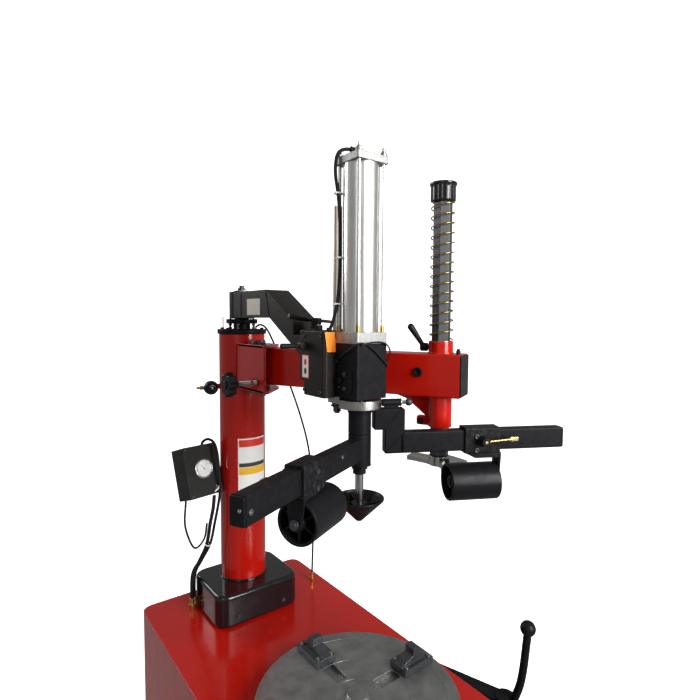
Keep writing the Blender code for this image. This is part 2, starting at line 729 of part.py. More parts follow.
def shaft_lock_lever():
    """A clamp lever whose screw goes into the collar above the beam, from the hinge's side."""
    reach = SHAFT_REACH - 0.0415
    x, y = reach * cos(SWING_ANGLE), HINGE_Y + reach * sin(SWING_ANGLE)
    axis = pivot("shaft_lock_lever_axis", x, y, COLLAR_SCREW_Z, SWING_ANGLE)
    screw = rod((0.0, 0, 0), (0.0170, 0, 0), 0.0050, 12)
    boss = rod((-0.010, 0, 0), (0.008, 0, 0), 0.0100, 16)
    tip = (-0.030, -0.020, 0.050)
    handle = rod((-0.003, 0, 0), tip, 0.0050, 12, 0.0080)
    part("shaft_lock_lever", joined(screw, boss, handle, ball(tip, 0.0082)), BLACK_PLASTIC, axis)


def stop_knob():
    """The lobed knob and threaded rod that set where the swing arm stops."""
    axis = pivot("stop_knob_axis", STOP_X, STOP_Y, STOP_Z)
    lobes = []
    for step in range(48):
        angle = 2 * pi * step / 48
        radius = 0.0315 + 0.0025 * cos(8 * angle)
        lobes.append((radius * cos(angle), radius * sin(angle)))
    knob = prism(lobes, -0.012, 0.010, "YZ")
    hub = rod((0.005, 0, 0), (0.022, 0, 0), 0.0130, 16)
    screw = rod((0.018, 0, 0), (0.112, 0, 0), 0.0060, 12)
    part("stop_knob", joined(knob, hub, screw), BLACK_PLASTIC, axis)


# Gooseneck and press head ------------------------------------------------------------------------------


def gooseneck_arm():
    """A square tube from the column to the elbow, with a hub at each end."""
    column_axis = pivot("gooseneck_axis", 0.0, COLUMN_Y)
    low, high, slope = GOOSENECK_LOW, GOOSENECK_HIGH, GOOSENECK_SLOPE

    def along(y, start, height):
        return height - (start - y) * slope

    outline = [
        (0.595, low),
        (0.350, low),
        (0.190, along(0.190, 0.350, low)),
        (0.190, 1.4870),
        (0.225, 1.4870),
        (0.225, along(0.225, 0.370, high)),
        (0.370, high),
        (0.595, high),
    ]
    tube_body = prism([(y - COLUMN_Y, z) for y, z in outline], -0.036, 0.036, "YZ")
    hub = rod((0, 0, 1.5270), (0, 0, 1.6100), 0.0380, 28)
    elbow = rod((0, ELBOW_Y - COLUMN_Y, 1.3925), (0, ELBOW_Y - COLUMN_Y, 1.4875), 0.0400, 28)
    arm = joined(tube_body, hub, elbow)
    cut(arm, rod((0, 0, 1.50), (0, 0, 1.65), 0.0225, 24))
    cut(arm, rod((0, ELBOW_Y - COLUMN_Y, 1.35), (0, ELBOW_Y - COLUMN_Y, 1.55), 0.0165, 20))
    part("gooseneck_arm", arm, BROWN_BLACK_PAINT, column_axis)


def press_head():
    """Everything that hangs on the elbow and doesn't slide: the housing, the cylinder and its foot."""
    elbow = pivot("press_head_axis", 0.0, ELBOW_Y)
    press_housing(elbow)
    press_cylinder(elbow)
    hose_points = [
        (-0.0150, 0.0100, 1.8900),
        (-0.0300, 0.0170, 1.8900),
        (-0.0410, 0.0225, 1.8850),
        (-0.0468, 0.0275, 1.8720),
        (-0.0470, 0.0310, 1.8400),
        (-0.0420, 0.0285, 1.7980),
        (-0.0389, 0.0262, 1.7540),
        (-0.0377, 0.0252, 1.6600),
        (-0.0395, 0.0268, 1.5950),
        (-0.0425, 0.0290, 1.5600),
        (-0.0490, 0.0360, 1.5200),
        (-0.0540, 0.0420, 1.5030),
    ]
    shifted = [(x, y - ELBOW_Y, z) for x, y, z in hose_points]
    part("press_hose", hose(shifted, 0.0038, 0.014), RUBBER, elbow)
    control_levers()


def press_housing(elbow):
    """The cover behind the press, with two ears and the elbow pin. It wraps round the press block's back."""
    half, shift = 0.0725, -ELBOW_Y
    cover = box((-half, 0.035 + shift, 1.3525), (half, 0.127 + shift, 1.500))
    rounded(cover, 0.012, 3, upright_only=True)
    pocket = PRESS_HALF + GAP
    cut(cover, box((-pocket, -0.1 + shift, 1.30), (pocket, pocket + shift, 1.55)))
    for low, high in ((1.378, 1.3920), (1.4880, 1.500)):
        ear = box((-0.036, 0.120 + shift, low), (0.036, 0.0, high))
        joined(cover, joined(ear, rod((0, 0, low), (0, 0, high), 0.040, 28)))
    joined(cover, rod((0, 0, 1.385), (0, 0, 1.512), 0.0160, 20))
    cut(cover, rod((0, GUIDE_ROD_Y + shift, 1.2), (0, GUIDE_ROD_Y + shift, 1.6), 0.0100, 20))
    part("press_housing", cover, BROWN_BLACK_PAINT, elbow)


def press_cylinder(elbow):
    half, shift, centre = PRESS_HALF, -ELBOW_Y, (0.0, -ELBOW_Y)
    bore = PISTON_ROD_RADIUS + PLAY

    block = box((-half, -half + shift, BLOCK_LOW), (half, half + shift, BLOCK_HIGH))
    rounded(block, 0.004, 2, upright_only=True)
    part("press_block", cut(block, rod((*centre, 1.3), (*centre, 1.5), bore, 20)), BLACK_PAINT, elbow)

    base = box((-half, -half + shift, BLOCK_HIGH + GAP), (half, half + shift, BARREL_LOW - GAP))
    rounded(base, 0.004, 2, upright_only=True)
    part("press_base", cut(base, rod((*centre, 1.4), (*centre, 1.6), bore, 20)), CAST_GREY, elbow)

    barrel = tube(BARREL_LOW, BARREL_HIGH, BARREL_RADIUS, BARREL_RADIUS - 0.0035, 32, centre)
    part("press_barrel", barrel, BRUSHED_ALUMINIUM, elbow)

    cap = box((-half, -half + shift, BARREL_HIGH + GAP), (half, half + shift, 1.8740))
    rounded(cap, 0.004, 2, upright_only=True)
    for x in (-TIE_ROD_OFFSET, TIE_ROD_OFFSET):
        for y in (-TIE_ROD_OFFSET, TIE_ROD_OFFSET):
            tie = rod((x, y + shift, BARREL_LOW), (x, y + shift, 1.8920), 0.0040, 10)
            nut = rod((x, y + shift, 1.8730), (x, y + shift, 1.8850), 0.0085, 6)
            joined(cap, joined(tie, nut))
    joined(cap, rod((-0.006, 0.004 + shift, 1.870), (-0.006, 0.004 + shift, 1.892), 0.0080, 12))
    part("press_top_cap", cap, CAST_GREY, elbow)

    guide = tube(1.5003, 1.785, 0.0105, 0.0090, 20, (0.0, GUIDE_ROD_Y + shift))
    part("guide_tube", guide, BRUSHED_ALUMINIUM, elbow)


def control_levers():
    """The up and down lever on the housing's left side, and the tommy bar that locks the elbow."""
    axis = pivot("valve_lever_axis", -0.0835, 0.1050, 1.4660)
    boss = rod((0, -0.0085, 0), (0, 0.0085, 0), 0.0105, 20)
    stem = rod((0, 0, 0), (-0.050, 0, 0.0004), 0.0045, 12)
    grip = rod((-0.020, 0, 0.0002), (-0.056, 0, 0.0004), 0.0060, 12)
    part("valve_lever", joined(boss, stem, grip), BLACK_PLASTIC, axis)

    axis = pivot("elbow_lever_axis", 0.0, ELBOW_Y)
    hub = rod((0, 0, 1.5125), (0, 0, 1.5300), 0.0130, 16)
    bar = rod((0.046, -0.012, 1.5190), (-0.030, 0.002, 1.5250), 0.0040, 12)
    handle = rod((-0.024, 0.001, 1.5245), (-0.076, 0.004, 1.5340), 0.0060, 12)
    part("elbow_lever", joined(hub, bar, handle), BLACK_PLASTIC, axis)


# Press ram and roller arms -------------------------------------------------------------------------------


def press_ram():
    """What the cylinder pushes down: the piston and rod, the notched plate, its spindle, the guide rod."""
    slide = pivot("press_slide")
    piston = [
        (0.0, PLATE_HIGH + GAP),
        (PISTON_ROD_RADIUS, PLATE_HIGH + GAP),
        (PISTON_ROD_RADIUS, 1.8000),
        (0.0355, 1.8000),
        (0.0355, 1.8280),
        (0.0, 1.8280),
    ]
    part("piston_rod", turned(piston, 28), STEEL, slide)

    front = circle(0.048, 14, (0, 0), pi, pi)
    right_side = [(0.048, 0.014), (0.017, 0.050), (0.017, 0.100)]
    outline = [*front, *right_side, *[(-x, y) for x, y in reversed(right_side)]]
    plate = prism(outline, PLATE_LOW, PLATE_HIGH)
    spindle = turned(
        [
            (0.0099, 1.184),
            (0.0147, 1.184),
            (0.0147, 1.194),
            (SPINDLE_RADIUS, 1.196),
            (SPINDLE_RADIUS, PLATE_LOW + 0.003),
            (0.0099, PLATE_LOW + 0.003),
        ],
        24,
    )
    guide = rod((0, GUIDE_ROD_Y, PLATE_LOW + 0.004), (0, GUIDE_ROD_Y, 1.760), 0.0080, 16)
    nut = rod((0, GUIDE_ROD_Y, 1.306), (0, GUIDE_ROD_Y, PLATE_LOW + 0.004), 0.0100, 6)
    washer = rod((0, GUIDE_ROD_Y, 1.322), (0, GUIDE_ROD_Y, PLATE_LOW + 0.002), 0.0145, 20)
    plate = joined(plate, spindle, guide, nut, washer)
    cut(plate, rod((0, 0, 1.18), (0, 0, PLATE_LOW - 0.003), 0.0099, 20))
    for notch_angle in (RIGHT_ANGLE, RIGHT_ANGLE - radians(35)):
        notch = rod((0.041, 0, 1.3415), (0.060, 0, 1.3415), 0.0050, 12)
        notch.data.transform(Matrix.Rotation(notch_angle, 4, "Z"))
        cut(plate, notch)
    part("ram_plate", plate, ZINC, slide)


def right_arm():
    """The upper arm: a hub, a short stub, a drop and the long tube, with the index plunger's housing."""
    axis = pivot("right_arm_axis", turn=RIGHT_ANGLE)
    half, tall = ARM_HALF_WIDTH, ARM_HALF_HEIGHT
    low, high = RIGHT_TUBE_MID - tall, RIGHT_TUBE_MID + tall
    drop_start, drop_end, top = 0.0545, 0.1005, 1.3295
    outline = [
        (0.014, 1.2825),
        (drop_start, 1.2825),
        (drop_start, low + 0.006),
        (drop_start + 0.006, low),
        (RIGHT_ARM_END, low),
        (RIGHT_ARM_END, high),
        (drop_end, high),
        (drop_end, top - 0.006),
        (drop_end - 0.006, top),
        (0.014, top),
    ]
    arm = prism(outline, -half, half, "XZ")
    hub = rod((0, 0, 1.2743), (0, 0, 1.3310), 0.0255, 28)
    housing = rod((0.0505, 0, 1.3415), (0.0920, 0, 1.3415), 0.0085, 16)
    saddle = box((0.056, -0.006, 1.326), (0.087, 0.006, 1.340))
    arm = joined(arm, hub, housing, saddle)
    inside = half - TUBE_WALL
    cut(arm, box((0.115, -inside, low + TUBE_WALL), (0.600, inside, high - TUBE_WALL)))
    cut(arm, rod((0, 0, 1.2), (0, 0, 1.4), SPINDLE_RADIUS + PLAY, 24))
    cut(arm, rod((0.040, 0, 1.3415), (0.100, 0, 1.3415), 0.0044, 12))
    part("right_arm", arm, BLACK_PAINT, axis)

    pin = rod((0.0490, 0, 0), (0.1060, 0, 0), 0.0040, 12)
    plunger = joined(pin, ball((0.1120, 0, 0), 0.0085))
    plunger_axis = pivot("index_plunger_slide", 0, 0, 1.3415, RIGHT_ANGLE)
    part("index_plunger", plunger, DARK_STEEL, plunger_axis)
    roller_set("right", RIGHT_ANGLE, RIGHT_TUBE_MID, RIGHT_ROLLER_END, RIGHT_ROLLER_Z, 0.241, 0.3245, 0.0115)


def left_arm():
    """The lower arm: a hub and one straight tube."""
    axis = pivot("left_arm_axis", turn=LEFT_ANGLE)
    half = ARM_HALF_WIDTH
    low, high = LEFT_TUBE_MID - ARM_HALF_HEIGHT, LEFT_TUBE_MID + ARM_HALF_HEIGHT
    arm = box((0.014, -half, low), (LEFT_ARM_END, half, high))
    hub = rod((0, 0, 1.2040), (0, 0, 1.2738), 0.0255, 28)
    arm = joined(arm, hub)
    inside = half - TUBE_WALL
    cut(arm, box((0.060, -inside, low + TUBE_WALL), (0.600, inside, high - TUBE_WALL)))
    cut(arm, rod((0, 0, 1.1), (0, 0, 1.4), SPINDLE_RADIUS + PLAY, 24))
    part("left_arm", arm, BLACK_PAINT, axis)
    roller_set("left", LEFT_ANGLE, LEFT_TUBE_MID, LEFT_ROLLER_END, LEFT_ROLLER_Z, 0.195, 0.267, 0.0050)


def roller_set(side, angle, tube_mid, roller_end, roller_z, sleeve_start, sleeve_end, shelf_depth):
    """A sleeve that slides on the arm, its clamp knob, and the roller that hangs from its outer end."""
    slide = pivot(f"{side}_sleeve_slide", turn=angle)
    inner, inner_tall = ARM_HALF_WIDTH + PLAY, ARM_HALF_HEIGHT + PLAY
    outer, outer_tall = ARM_HALF_WIDTH + SLEEVE_WALL, ARM_HALF_HEIGHT + SLEEVE_WALL
    hanger_start, hanger_end = roller_end + 0.0010, roller_end + 0.0070
    under = tube_mid - outer_tall
    sleeve = box((sleeve_start, -outer, under), (sleeve_end, outer, tube_mid + outer_tall))
    bottom = under - shelf_depth
    shelf_outline = [
        (sleeve_start + 0.002, under + 0.003),
        (sleeve_start + 0.002, under),
        (sleeve_start + 0.025, bottom),
        (hanger_end, bottom),
        (hanger_end, under + 0.003),
    ]
    shelf = prism(shelf_outline, -0.018, 0.018, "XZ")
    plate = [(-0.0195, under), (-0.011, roller_z - 0.013), (0.011, roller_z - 0.013), (0.0195, under)]
    hanger = prism(plate, hanger_start, hanger_end, "YZ")
    axle_start = roller_end - ROLLER_LENGTH + 0.004
    axle = rod((axle_start, 0, roller_z), (hanger_end + 0.004, 0, roller_z), 0.0080, 16)
    sleeve = joined(sleeve, shelf, hanger, axle)
    passage_low = (sleeve_start - 0.01, -inner, tube_mid - inner_tall)
    cut(sleeve, box(passage_low, (roller_end + 0.08, inner, tube_mid + inner_tall)))
    part(f"{side}_sleeve", sleeve, BLACK_PAINT, slide)

    turn = Matrix.Rotation(angle, 4, "Z") @ Vector((sleeve_start + 0.040, -outer - PLAY, 0))
    knob_axis = pivot(f"{side}_knob_axis", turn.x, turn.y, tube_mid, angle)
    grip = rod((0, 0, 0), (0, -0.022, 0), 0.0120, 16)
    bar = rod((0, -0.014, 0), (0.078, -0.018, 0.006), 0.0028, 10)
    part(f"{side}_knob", joined(grip, bar), BLACK_PLASTIC, knob_axis)

    roller_axis = pivot(f"{side}_roller_axis", 0, 0, roller_z, angle)
    start, middle = roller_end - ROLLER_LENGTH, roller_end - ROLLER_LENGTH / 2
    wall, hub, bore = ROLLER_RADIUS - 0.006, 0.0145, 0.0080 + PLAY
    profile = [
        (bore, start + 0.006),
        (hub, start + 0.006),
        (hub, middle - 0.004),
        (wall, middle - 0.004),
        (wall, start),
        (ROLLER_RADIUS - 0.002, start),
        (ROLLER_RADIUS, start + 0.003),
        (ROLLER_RADIUS, roller_end - 0.003),
        (ROLLER_RADIUS - 0.002, roller_end),
        (wall, roller_end),
        (wall, middle + 0.004),
        (hub, middle + 0.004),
        (hub, roller_end),
        (bore, roller_end),
    ]
    part(f"{side}_roller", lay_along_x(turned(profile, 22), 0.0), BLACK_PLASTIC, roller_axis)


def centring_cone():
    """The cone that presses on the wheel's centre, the rod it turns on, and the rod's thumb screw."""
    slide = pivot("cone_rod_slide")
    stem = [(0.0, 1.0900), (0.0095, 1.0900), (0.0095, 1.3250), (0.0, 1.3250)]
    part("cone_rod", turned(stem, 20), STEEL, slide)

    bore = 0.0095 + PLAY
    profile = [
        (0.0, CONE_TIP_Z),
        (0.0065, CONE_TIP_Z),
        (0.0560, CONE_RIM_Z - 0.004),
        (0.0560, CONE_RIM_Z),
        (0.0525, CONE_RIM_Z),
        (0.0500, CONE_RIM_Z - 0.005),
        (0.0180, 1.0990),
        (0.0180, 1.1180),
        (bore, 1.1180),
        (bore, 1.0895),
        (0.0, 1.0895),
    ]
    axis = pivot("cone_axis")
    part("cone", turned(profile, 28), BLACK_PLASTIC, axis)

    screw_axis = pivot("thumb_screw_axis", 0, 0, 1.1985)
    screw = rod((SPINDLE_RADIUS + GAP, 0, 0), (0.0240, 0, 0), 0.0025, 10)
    head = rod((0.0235, 0, 0), (0.0310, 0, 0), 0.0046, 12)
    part("thumb_screw", joined(screw, head), DARK_STEEL, screw_axis)


def main():
    clear_scene()
    base_plate()
    cabinet()
    bead_pad()
    column_base()
    column()
    column_cap()
    arm_bracket()
    hinge_pin()
    gauge_box()
    regulator()
    air_hoses()
    motor()
    gearbox()
    drive()
    breaker_cylinder()
    turntable()
    jaws()
    pedals()
    bead_breaker()
    swing_arm()
    hex_shaft()
    mount_head()
    shaft_lock_lever()
    stop_knob()
    gooseneck_arm()
    press_head()
    press_ram()
    right_arm()
    left_arm()
    centring_cone()


main()
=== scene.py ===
"""The looks of a tyre changing machine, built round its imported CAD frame. Metres, +Z up."""

import json
from math import atan2, cos, pi, radians, sin

import bmesh
import bpy
from mathutils import Matrix, Vector


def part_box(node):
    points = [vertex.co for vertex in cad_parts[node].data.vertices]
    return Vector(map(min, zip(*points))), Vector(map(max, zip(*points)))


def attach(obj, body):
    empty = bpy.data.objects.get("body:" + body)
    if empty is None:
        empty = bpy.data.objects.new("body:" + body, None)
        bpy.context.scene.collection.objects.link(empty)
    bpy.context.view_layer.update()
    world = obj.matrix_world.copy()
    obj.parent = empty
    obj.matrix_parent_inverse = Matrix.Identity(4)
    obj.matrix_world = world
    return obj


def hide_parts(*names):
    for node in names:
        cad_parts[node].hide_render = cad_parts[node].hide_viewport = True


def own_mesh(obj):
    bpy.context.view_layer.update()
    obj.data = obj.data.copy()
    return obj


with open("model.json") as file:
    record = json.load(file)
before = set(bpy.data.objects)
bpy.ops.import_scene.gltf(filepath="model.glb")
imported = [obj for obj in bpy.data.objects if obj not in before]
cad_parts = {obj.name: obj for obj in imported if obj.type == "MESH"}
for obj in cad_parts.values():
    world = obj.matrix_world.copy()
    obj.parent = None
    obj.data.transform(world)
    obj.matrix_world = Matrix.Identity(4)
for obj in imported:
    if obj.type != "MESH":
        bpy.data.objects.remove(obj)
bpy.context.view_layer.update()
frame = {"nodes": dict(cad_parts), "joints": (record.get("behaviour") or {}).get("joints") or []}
JOINTS = {joint["name"]: joint for joint in frame["joints"]}

# The camera of the photograph
CAMERA_PLACE = (-0.6869, -0.8582, 1.525)
CAMERA_AZIMUTH = radians(37.5)
CAMERA_DOWN = radians(3.43)
CAMERA_ROLL = radians(0.35)
CAMERA_LENS = 36 * 500 / 700

# Sizes that the CAD frame settles
COLUMN_Y = JOINTS["gooseneck_hinge"]["pos_m"][1]
HINGE_Y = JOINTS["swing_arm_hinge"]["pos_m"][1]
ELBOW_Y = JOINTS["elbow_hinge"]["pos_m"][1]
DECK_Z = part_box("cabinet")[1].z
COLUMN_RADIUS = 0.070
COLUMN_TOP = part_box("column")[1].z
SHAFT_REACH = 0.547
BEAM_HALF = 0.040
BEAM_LOW, BEAM_HIGH = 1.339, 1.444
ARM_WIDTH, ARM_HEIGHT = 0.015, 0.024
SLEEVE_WALL = 0.0055
RIGHT_END, LEFT_END = 0.482, 0.418
RIGHT_MID = JOINTS["right_knob_turn"]["pos_m"][2]
LEFT_MID = JOINTS["left_knob_turn"]["pos_m"][2]
ROLLER_RADIUS = 0.0425
ROLLER_LENGTH = 0.116
RIGHT_ROLLER_END, LEFT_ROLLER_END = 0.3215, 0.2580
PRESS_HALF = 0.042
BLOCK_LOW, BLOCK_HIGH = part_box("press_block")[0].z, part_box("press_block")[1].z
BARREL_LOW, BARREL_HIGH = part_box("press_barrel")[0].z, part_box("press_barrel")[1].z
TIE_OFFSET = 0.0335
TABLE_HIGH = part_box("turntable")[1].z
REGULATOR_Z = (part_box("regulator")[0].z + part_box("regulator")[1].z) / 2
TABLE_RADIUS = 0.235
SHAFT_ACROSS = 0.041
PRESS_CAP_TOP = 1.8740
COVER_LOW, COVER_TOP = 1.3525, 1.500
RAM_PLATE_LOW, RAM_PLATE_HIGH = 1.332, 1.351
PLUNGER_Z = 1.3415
GUIDE_Y = 0.086
HUB_RADIUS, HUB_BORE = 0.0255, 0.0172
BAR_TIP = (0.078, -0.018, 0.006)

ROOT_THREE = 1.7320508
OCTAGON = [pi / 4 * i for i in range(8)]


def turned_frame(axis, x=0.0, y=0.0, z=0.0):
    """The local frame of an arm: its X runs along the given level direction."""
    return Matrix.Translation((x, y, z)) @ Matrix.Rotation(atan2(axis[1], axis[0]), 4, "Z")


SWING = turned_frame(JOINTS["shaft_lock_turn"]["axis"], 0.0, HINGE_Y)
RIGHT = turned_frame(JOINTS["right_sleeve_slide"]["axis"])
LEFT = turned_frame(JOINTS["left_sleeve_slide"]["axis"])
SHAFT = SWING @ Matrix.Translation((SHAFT_REACH, 0, 0))
SHAFT_LEVEL = Matrix.Translation(SHAFT.translation)


# Materials -------------------------------------------------------------------------------------------


def noise_node(made, scale, detail=3.0, vector=None):
    node = made.node_tree.nodes.new("ShaderNodeTexNoise")
    node.inputs["Scale"].default_value = scale
    node.inputs["Detail"].default_value = detail
    made.node_tree.links.new(vector, node.inputs["Vector"])
    return node.outputs["Fac"]


def ranged(made, value, low, high, start=0.3, end=0.7):
    node = made.node_tree.nodes.new("ShaderNodeMapRange")
    for name, number in (("From Min", start), ("From Max", end), ("To Min", low), ("To Max", high)):
        node.inputs[name].default_value = number
    made.node_tree.links.new(value, node.inputs["Value"])
    return node.outputs["Result"]


def mixed(made, factor, first, second):
    """Mixes two colours, each a tuple or another mix's output."""
    node = made.node_tree.nodes.new("ShaderNodeMix")
    node.data_type = "RGBA"
    links = made.node_tree.links
    links.new(factor, node.inputs["Factor"])
    for socket, colour in ((node.inputs[6], first), (node.inputs[7], second)):
        if isinstance(colour, tuple):
            socket.default_value = (*colour, 1.0)
        else:
            links.new(colour, socket)
    return node.outputs[2]


def shifted(colour, factor):
    return tuple(min(1.0, channel * factor) for channel in colour)


def look(
    name,
    colour,
    roughness,
    metallic=0.0,
    coat=0.0,
    mottle=(12.0, 0.12),
    grain=(800.0, 0.05),
    streak=None,
    spread=0.07,
    wear=None,
    specular=0.5,
):
    """A material: cloudy colour, uneven gloss, a fine grain, and optional drawn lines or worn edges."""
    made = bpy.data.materials.new(name)
    made.use_nodes = True
    nodes, links = made.node_tree.nodes, made.node_tree.links
    shader = nodes["Principled BSDF"]
    shader.inputs["Metallic"].default_value = metallic
    shader.inputs["Specular IOR Level"].default_value = specular
    shader.inputs["Coat Weight"].default_value = coat
    shader.inputs["Coat Roughness"].default_value = 0.06
    place = nodes.new("ShaderNodeTexCoord").outputs["Object"]

    clouds = ranged(made, noise_node(made, mottle[0], 4.0, place), 0.0, 1.0)
    tint = mixed(made, clouds, shifted(colour, 1 - mottle[1]), shifted(colour, 1 + mottle[1]))
    fine = noise_node(made, grain[0], 2.0, place)
    relief, shine = fine, noise_node(made, mottle[0] * 5, 5.0, place)
    if streak:
        mapping = nodes.new("ShaderNodeMapping")
        mapping.inputs["Scale"].default_value = streak
        links.new(place, mapping.inputs["Vector"])
        shine = noise_node(made, 1.0, 3.0, mapping.outputs["Vector"])
        tint = mixed(made, ranged(made, shine, 0.0, 0.35), tint, shifted(colour, 0.72))
        relief = shine
    if wear:
        edge = ranged(made, nodes.new("ShaderNodeNewGeometry").outputs["Pointiness"], 0.0, 1.0, 0.53, 0.62)
        patchy = nodes.new("ShaderNodeMath")
        patchy.operation = "MULTIPLY"
        links.new(edge, patchy.inputs[0])
        links.new(ranged(made, noise_node(made, 90.0, 4.0, place), 0.0, wear[1], 0.45, 0.7), patchy.inputs[1])
        tint = mixed(made, patchy.outputs[0], tint, wear[0])
    links.new(tint, shader.inputs["Base Color"])
    links.new(
        ranged(made, shine, max(0.02, roughness - spread), roughness + spread), shader.inputs["Roughness"]
    )

    bump = nodes.new("ShaderNodeBump")
    bump.inputs["Strength"].default_value = grain[1]
    bump.inputs["Distance"].default_value = 0.001
    links.new(relief, bump.inputs["Height"])
    links.new(bump.outputs["Normal"], shader.inputs["Normal"])
    return made


BARE = (0.35, 0.34, 0.33)
UPRIGHT_LINES = (700.0, 700.0, 5.0)
RED = look(
    "red_gloss_paint",
    (0.36, 0.006, 0.002),
    0.22,
    coat=0.15,
    mottle=(5.0, 0.06),
    grain=(260.0, 0.03),
    specular=0.3,
)
BLACK = look(
    "black_powder_coat",
    (0.006, 0.006, 0.007),
    0.42,
    mottle=(12.0, 0.06),
    grain=(1500.0, 0.10),
    wear=((0.04, 0.04, 0.04), 0.4),
    specular=0.08,
)
BROWN = look(
    "brown_black_enamel", (0.015, 0.013, 0.011), 0.42, mottle=(9.0, 0.12), grain=(900.0, 0.14), specular=0.14
)
GLOSS = look(
    "gloss_black_cover",
    (0.006, 0.006, 0.007),
    0.12,
    coat=0.25,
    mottle=(7.0, 0.1),
    grain=(300.0, 0.02),
    specular=0.3,
)
PLASTIC = look("black_moulded_plastic", (0.006, 0.006, 0.007), 0.36, grain=(1800.0, 0.08), specular=0.12)
CASE = look("gauge_case_plastic", (0.012, 0.012, 0.011), 0.50, grain=(1100.0, 0.25), specular=0.2)
CAST = look("cast_grey_metal", (0.30, 0.30, 0.29), 0.46, 0.75, mottle=(70.0, 0.18), grain=(600.0, 0.30))
ALUMINIUM = look("drawn_aluminium", (0.74, 0.73, 0.70), 0.30, 1.0, grain=(1.0, 0.03), streak=UPRIGHT_LINES)
WARM_ALUMINIUM = look(
    "warm_aluminium", (0.52, 0.46, 0.37), 0.34, 1.0, grain=(1.0, 0.04), streak=UPRIGHT_LINES
)
ZINC = look("zinc_plate", (0.32, 0.31, 0.29), 0.36, 1.0, mottle=(45.0, 0.2), grain=(400.0, 0.10))
STEEL = look("bright_steel", (0.42, 0.42, 0.41), 0.24, 1.0, grain=(1.0, 0.03), streak=UPRIGHT_LINES)
DARK = look("dark_steel", (0.050, 0.052, 0.056), 0.34, 0.6, mottle=(30.0, 0.2), grain=(700.0, 0.15))
SHAFT_DARK = look(
    "phosphated_shaft", (0.045, 0.047, 0.051), 0.40, 0.5, grain=(1.0, 0.05), streak=(300.0, 300.0, 9.0)
)
GOLD = look("yellow_zinc", (0.34, 0.22, 0.06), 0.28, 1.0, mottle=(80.0, 0.15), grain=(500.0, 0.08))
BRASS = look("brass_fitting", (0.55, 0.42, 0.16), 0.30, 1.0, mottle=(60.0, 0.1), grain=(600.0, 0.05))
BLUE_STEEL = look("blued_fitting", (0.16, 0.20, 0.26), 0.25, 1.0, mottle=(60.0, 0.15), grain=(600.0, 0.05))
RUBBER = look(
    "black_rubber", (0.010, 0.010, 0.010), 0.55, mottle=(40.0, 0.15), grain=(1200.0, 0.15), specular=0.15
)
WHITE_LABEL = look("white_label", (0.78, 0.78, 0.75), 0.35, mottle=(25.0, 0.03), grain=(500.0, 0.02))
RED_LABEL = look("red_label", (0.62, 0.03, 0.02), 0.35, mottle=(25.0, 0.05), grain=(500.0, 0.02))
YELLOW_LABEL = look("yellow_label", (0.80, 0.45, 0.02), 0.35, mottle=(25.0, 0.05), grain=(500.0, 0.02))
GREY_LABEL = look("dark_label", (0.035, 0.035, 0.035), 0.35, mottle=(25.0, 0.05), grain=(500.0, 0.02))
ORANGE = look("orange_tag", (0.95, 0.24, 0.005), 0.55, mottle=(30.0, 0.06), grain=(900.0, 0.06))
PALE_PLATE = look("pale_plate", (0.52, 0.49, 0.42), 0.40, 0.3, mottle=(40.0, 0.08), grain=(700.0, 0.04))
WHITE_TIE = look("white_nylon", (0.70, 0.70, 0.66), 0.40, mottle=(60.0, 0.05), grain=(900.0, 0.04))
TABLE = look(
    "machined_table",
    (0.24, 0.24, 0.235),
    0.34,
    0.85,
    mottle=(28.0, 0.22),
    grain=(500.0, 0.15),
    wear=(BARE, 0.8),
)


def glass_look():
    made = look(
        "gauge_glass",
        (0.95, 0.95, 0.95),
        0.04,
        coat=0.3,
        mottle=(20.0, 0.02),
        grain=(300.0, 0.0),
        spread=0.01,
    )
    made.node_tree.nodes["Principled BSDF"].inputs["Transmission Weight"].default_value = 1.0
    return made


GLASS = glass_look()


# Shapes ----------------------------------------------------------------------------------------------


def fixed(bm):
    bmesh.ops.recalc_face_normals(bm, faces=bm.faces)
    return bm


def bevelled(bm, width, segments=3, angle=32.0):
    """Rounds every edge that is sharper than the angle."""
    if width > 0:
        edges = [e for e in bm.edges if e.is_manifold and e.calc_face_angle(0.0) > radians(angle)]
        bmesh.ops.bevel(
            bm, geom=edges, offset=width, segments=segments, profile=0.5, affect="EDGES", clamp_overlap=True
        )
    return fixed(bm)


def box(low, high, edge=0.0012, segments=3):
    bm = bmesh.new()
    bmesh.ops.create_cube(bm, size=1.0)
    size, middle = Vector(high) - Vector(low), (Vector(high) + Vector(low)) / 2
    bm.transform(Matrix.Translation(middle) @ Matrix.Diagonal((*size, 1.0)))
    return bevelled(bm, edge, segments)


def filleted(points, radius, steps=4, closed=True):
    """An outline with its corners rounded."""
    result = []
    for index, point in enumerate(points):
        if not closed and index in (0, len(points) - 1):
            result.append(point)
            continue
        before, here, after = Vector(points[index - 1]), Vector(point), Vector(
            points[(index + 1) % len(points)]
        )
        start, end = before - here, after - here
        reach = min(radius, start.length * 0.48, end.length * 0.48)
        start, end = here + start.normalized() * reach, here + end.normalized() * reach
        for step in range(steps + 1):
            t = step / steps
            spot = start * (1 - t) ** 2 + here * (2 * t * (1 - t)) + end * t**2
            result.append((spot.x, spot.y))
    return result


def rectangle(low, high):
    """An outline's four corners, from two opposite ones."""
    return [low, (high[0], low[1]), high, (low[0], high[1])]


PLANES = {
    "XY": lambda u, v, depth: (u, v, depth),
    "XZ": lambda u, v, depth: (u, depth, v),
    "YZ": lambda u, v, depth: (depth, u, v),
}


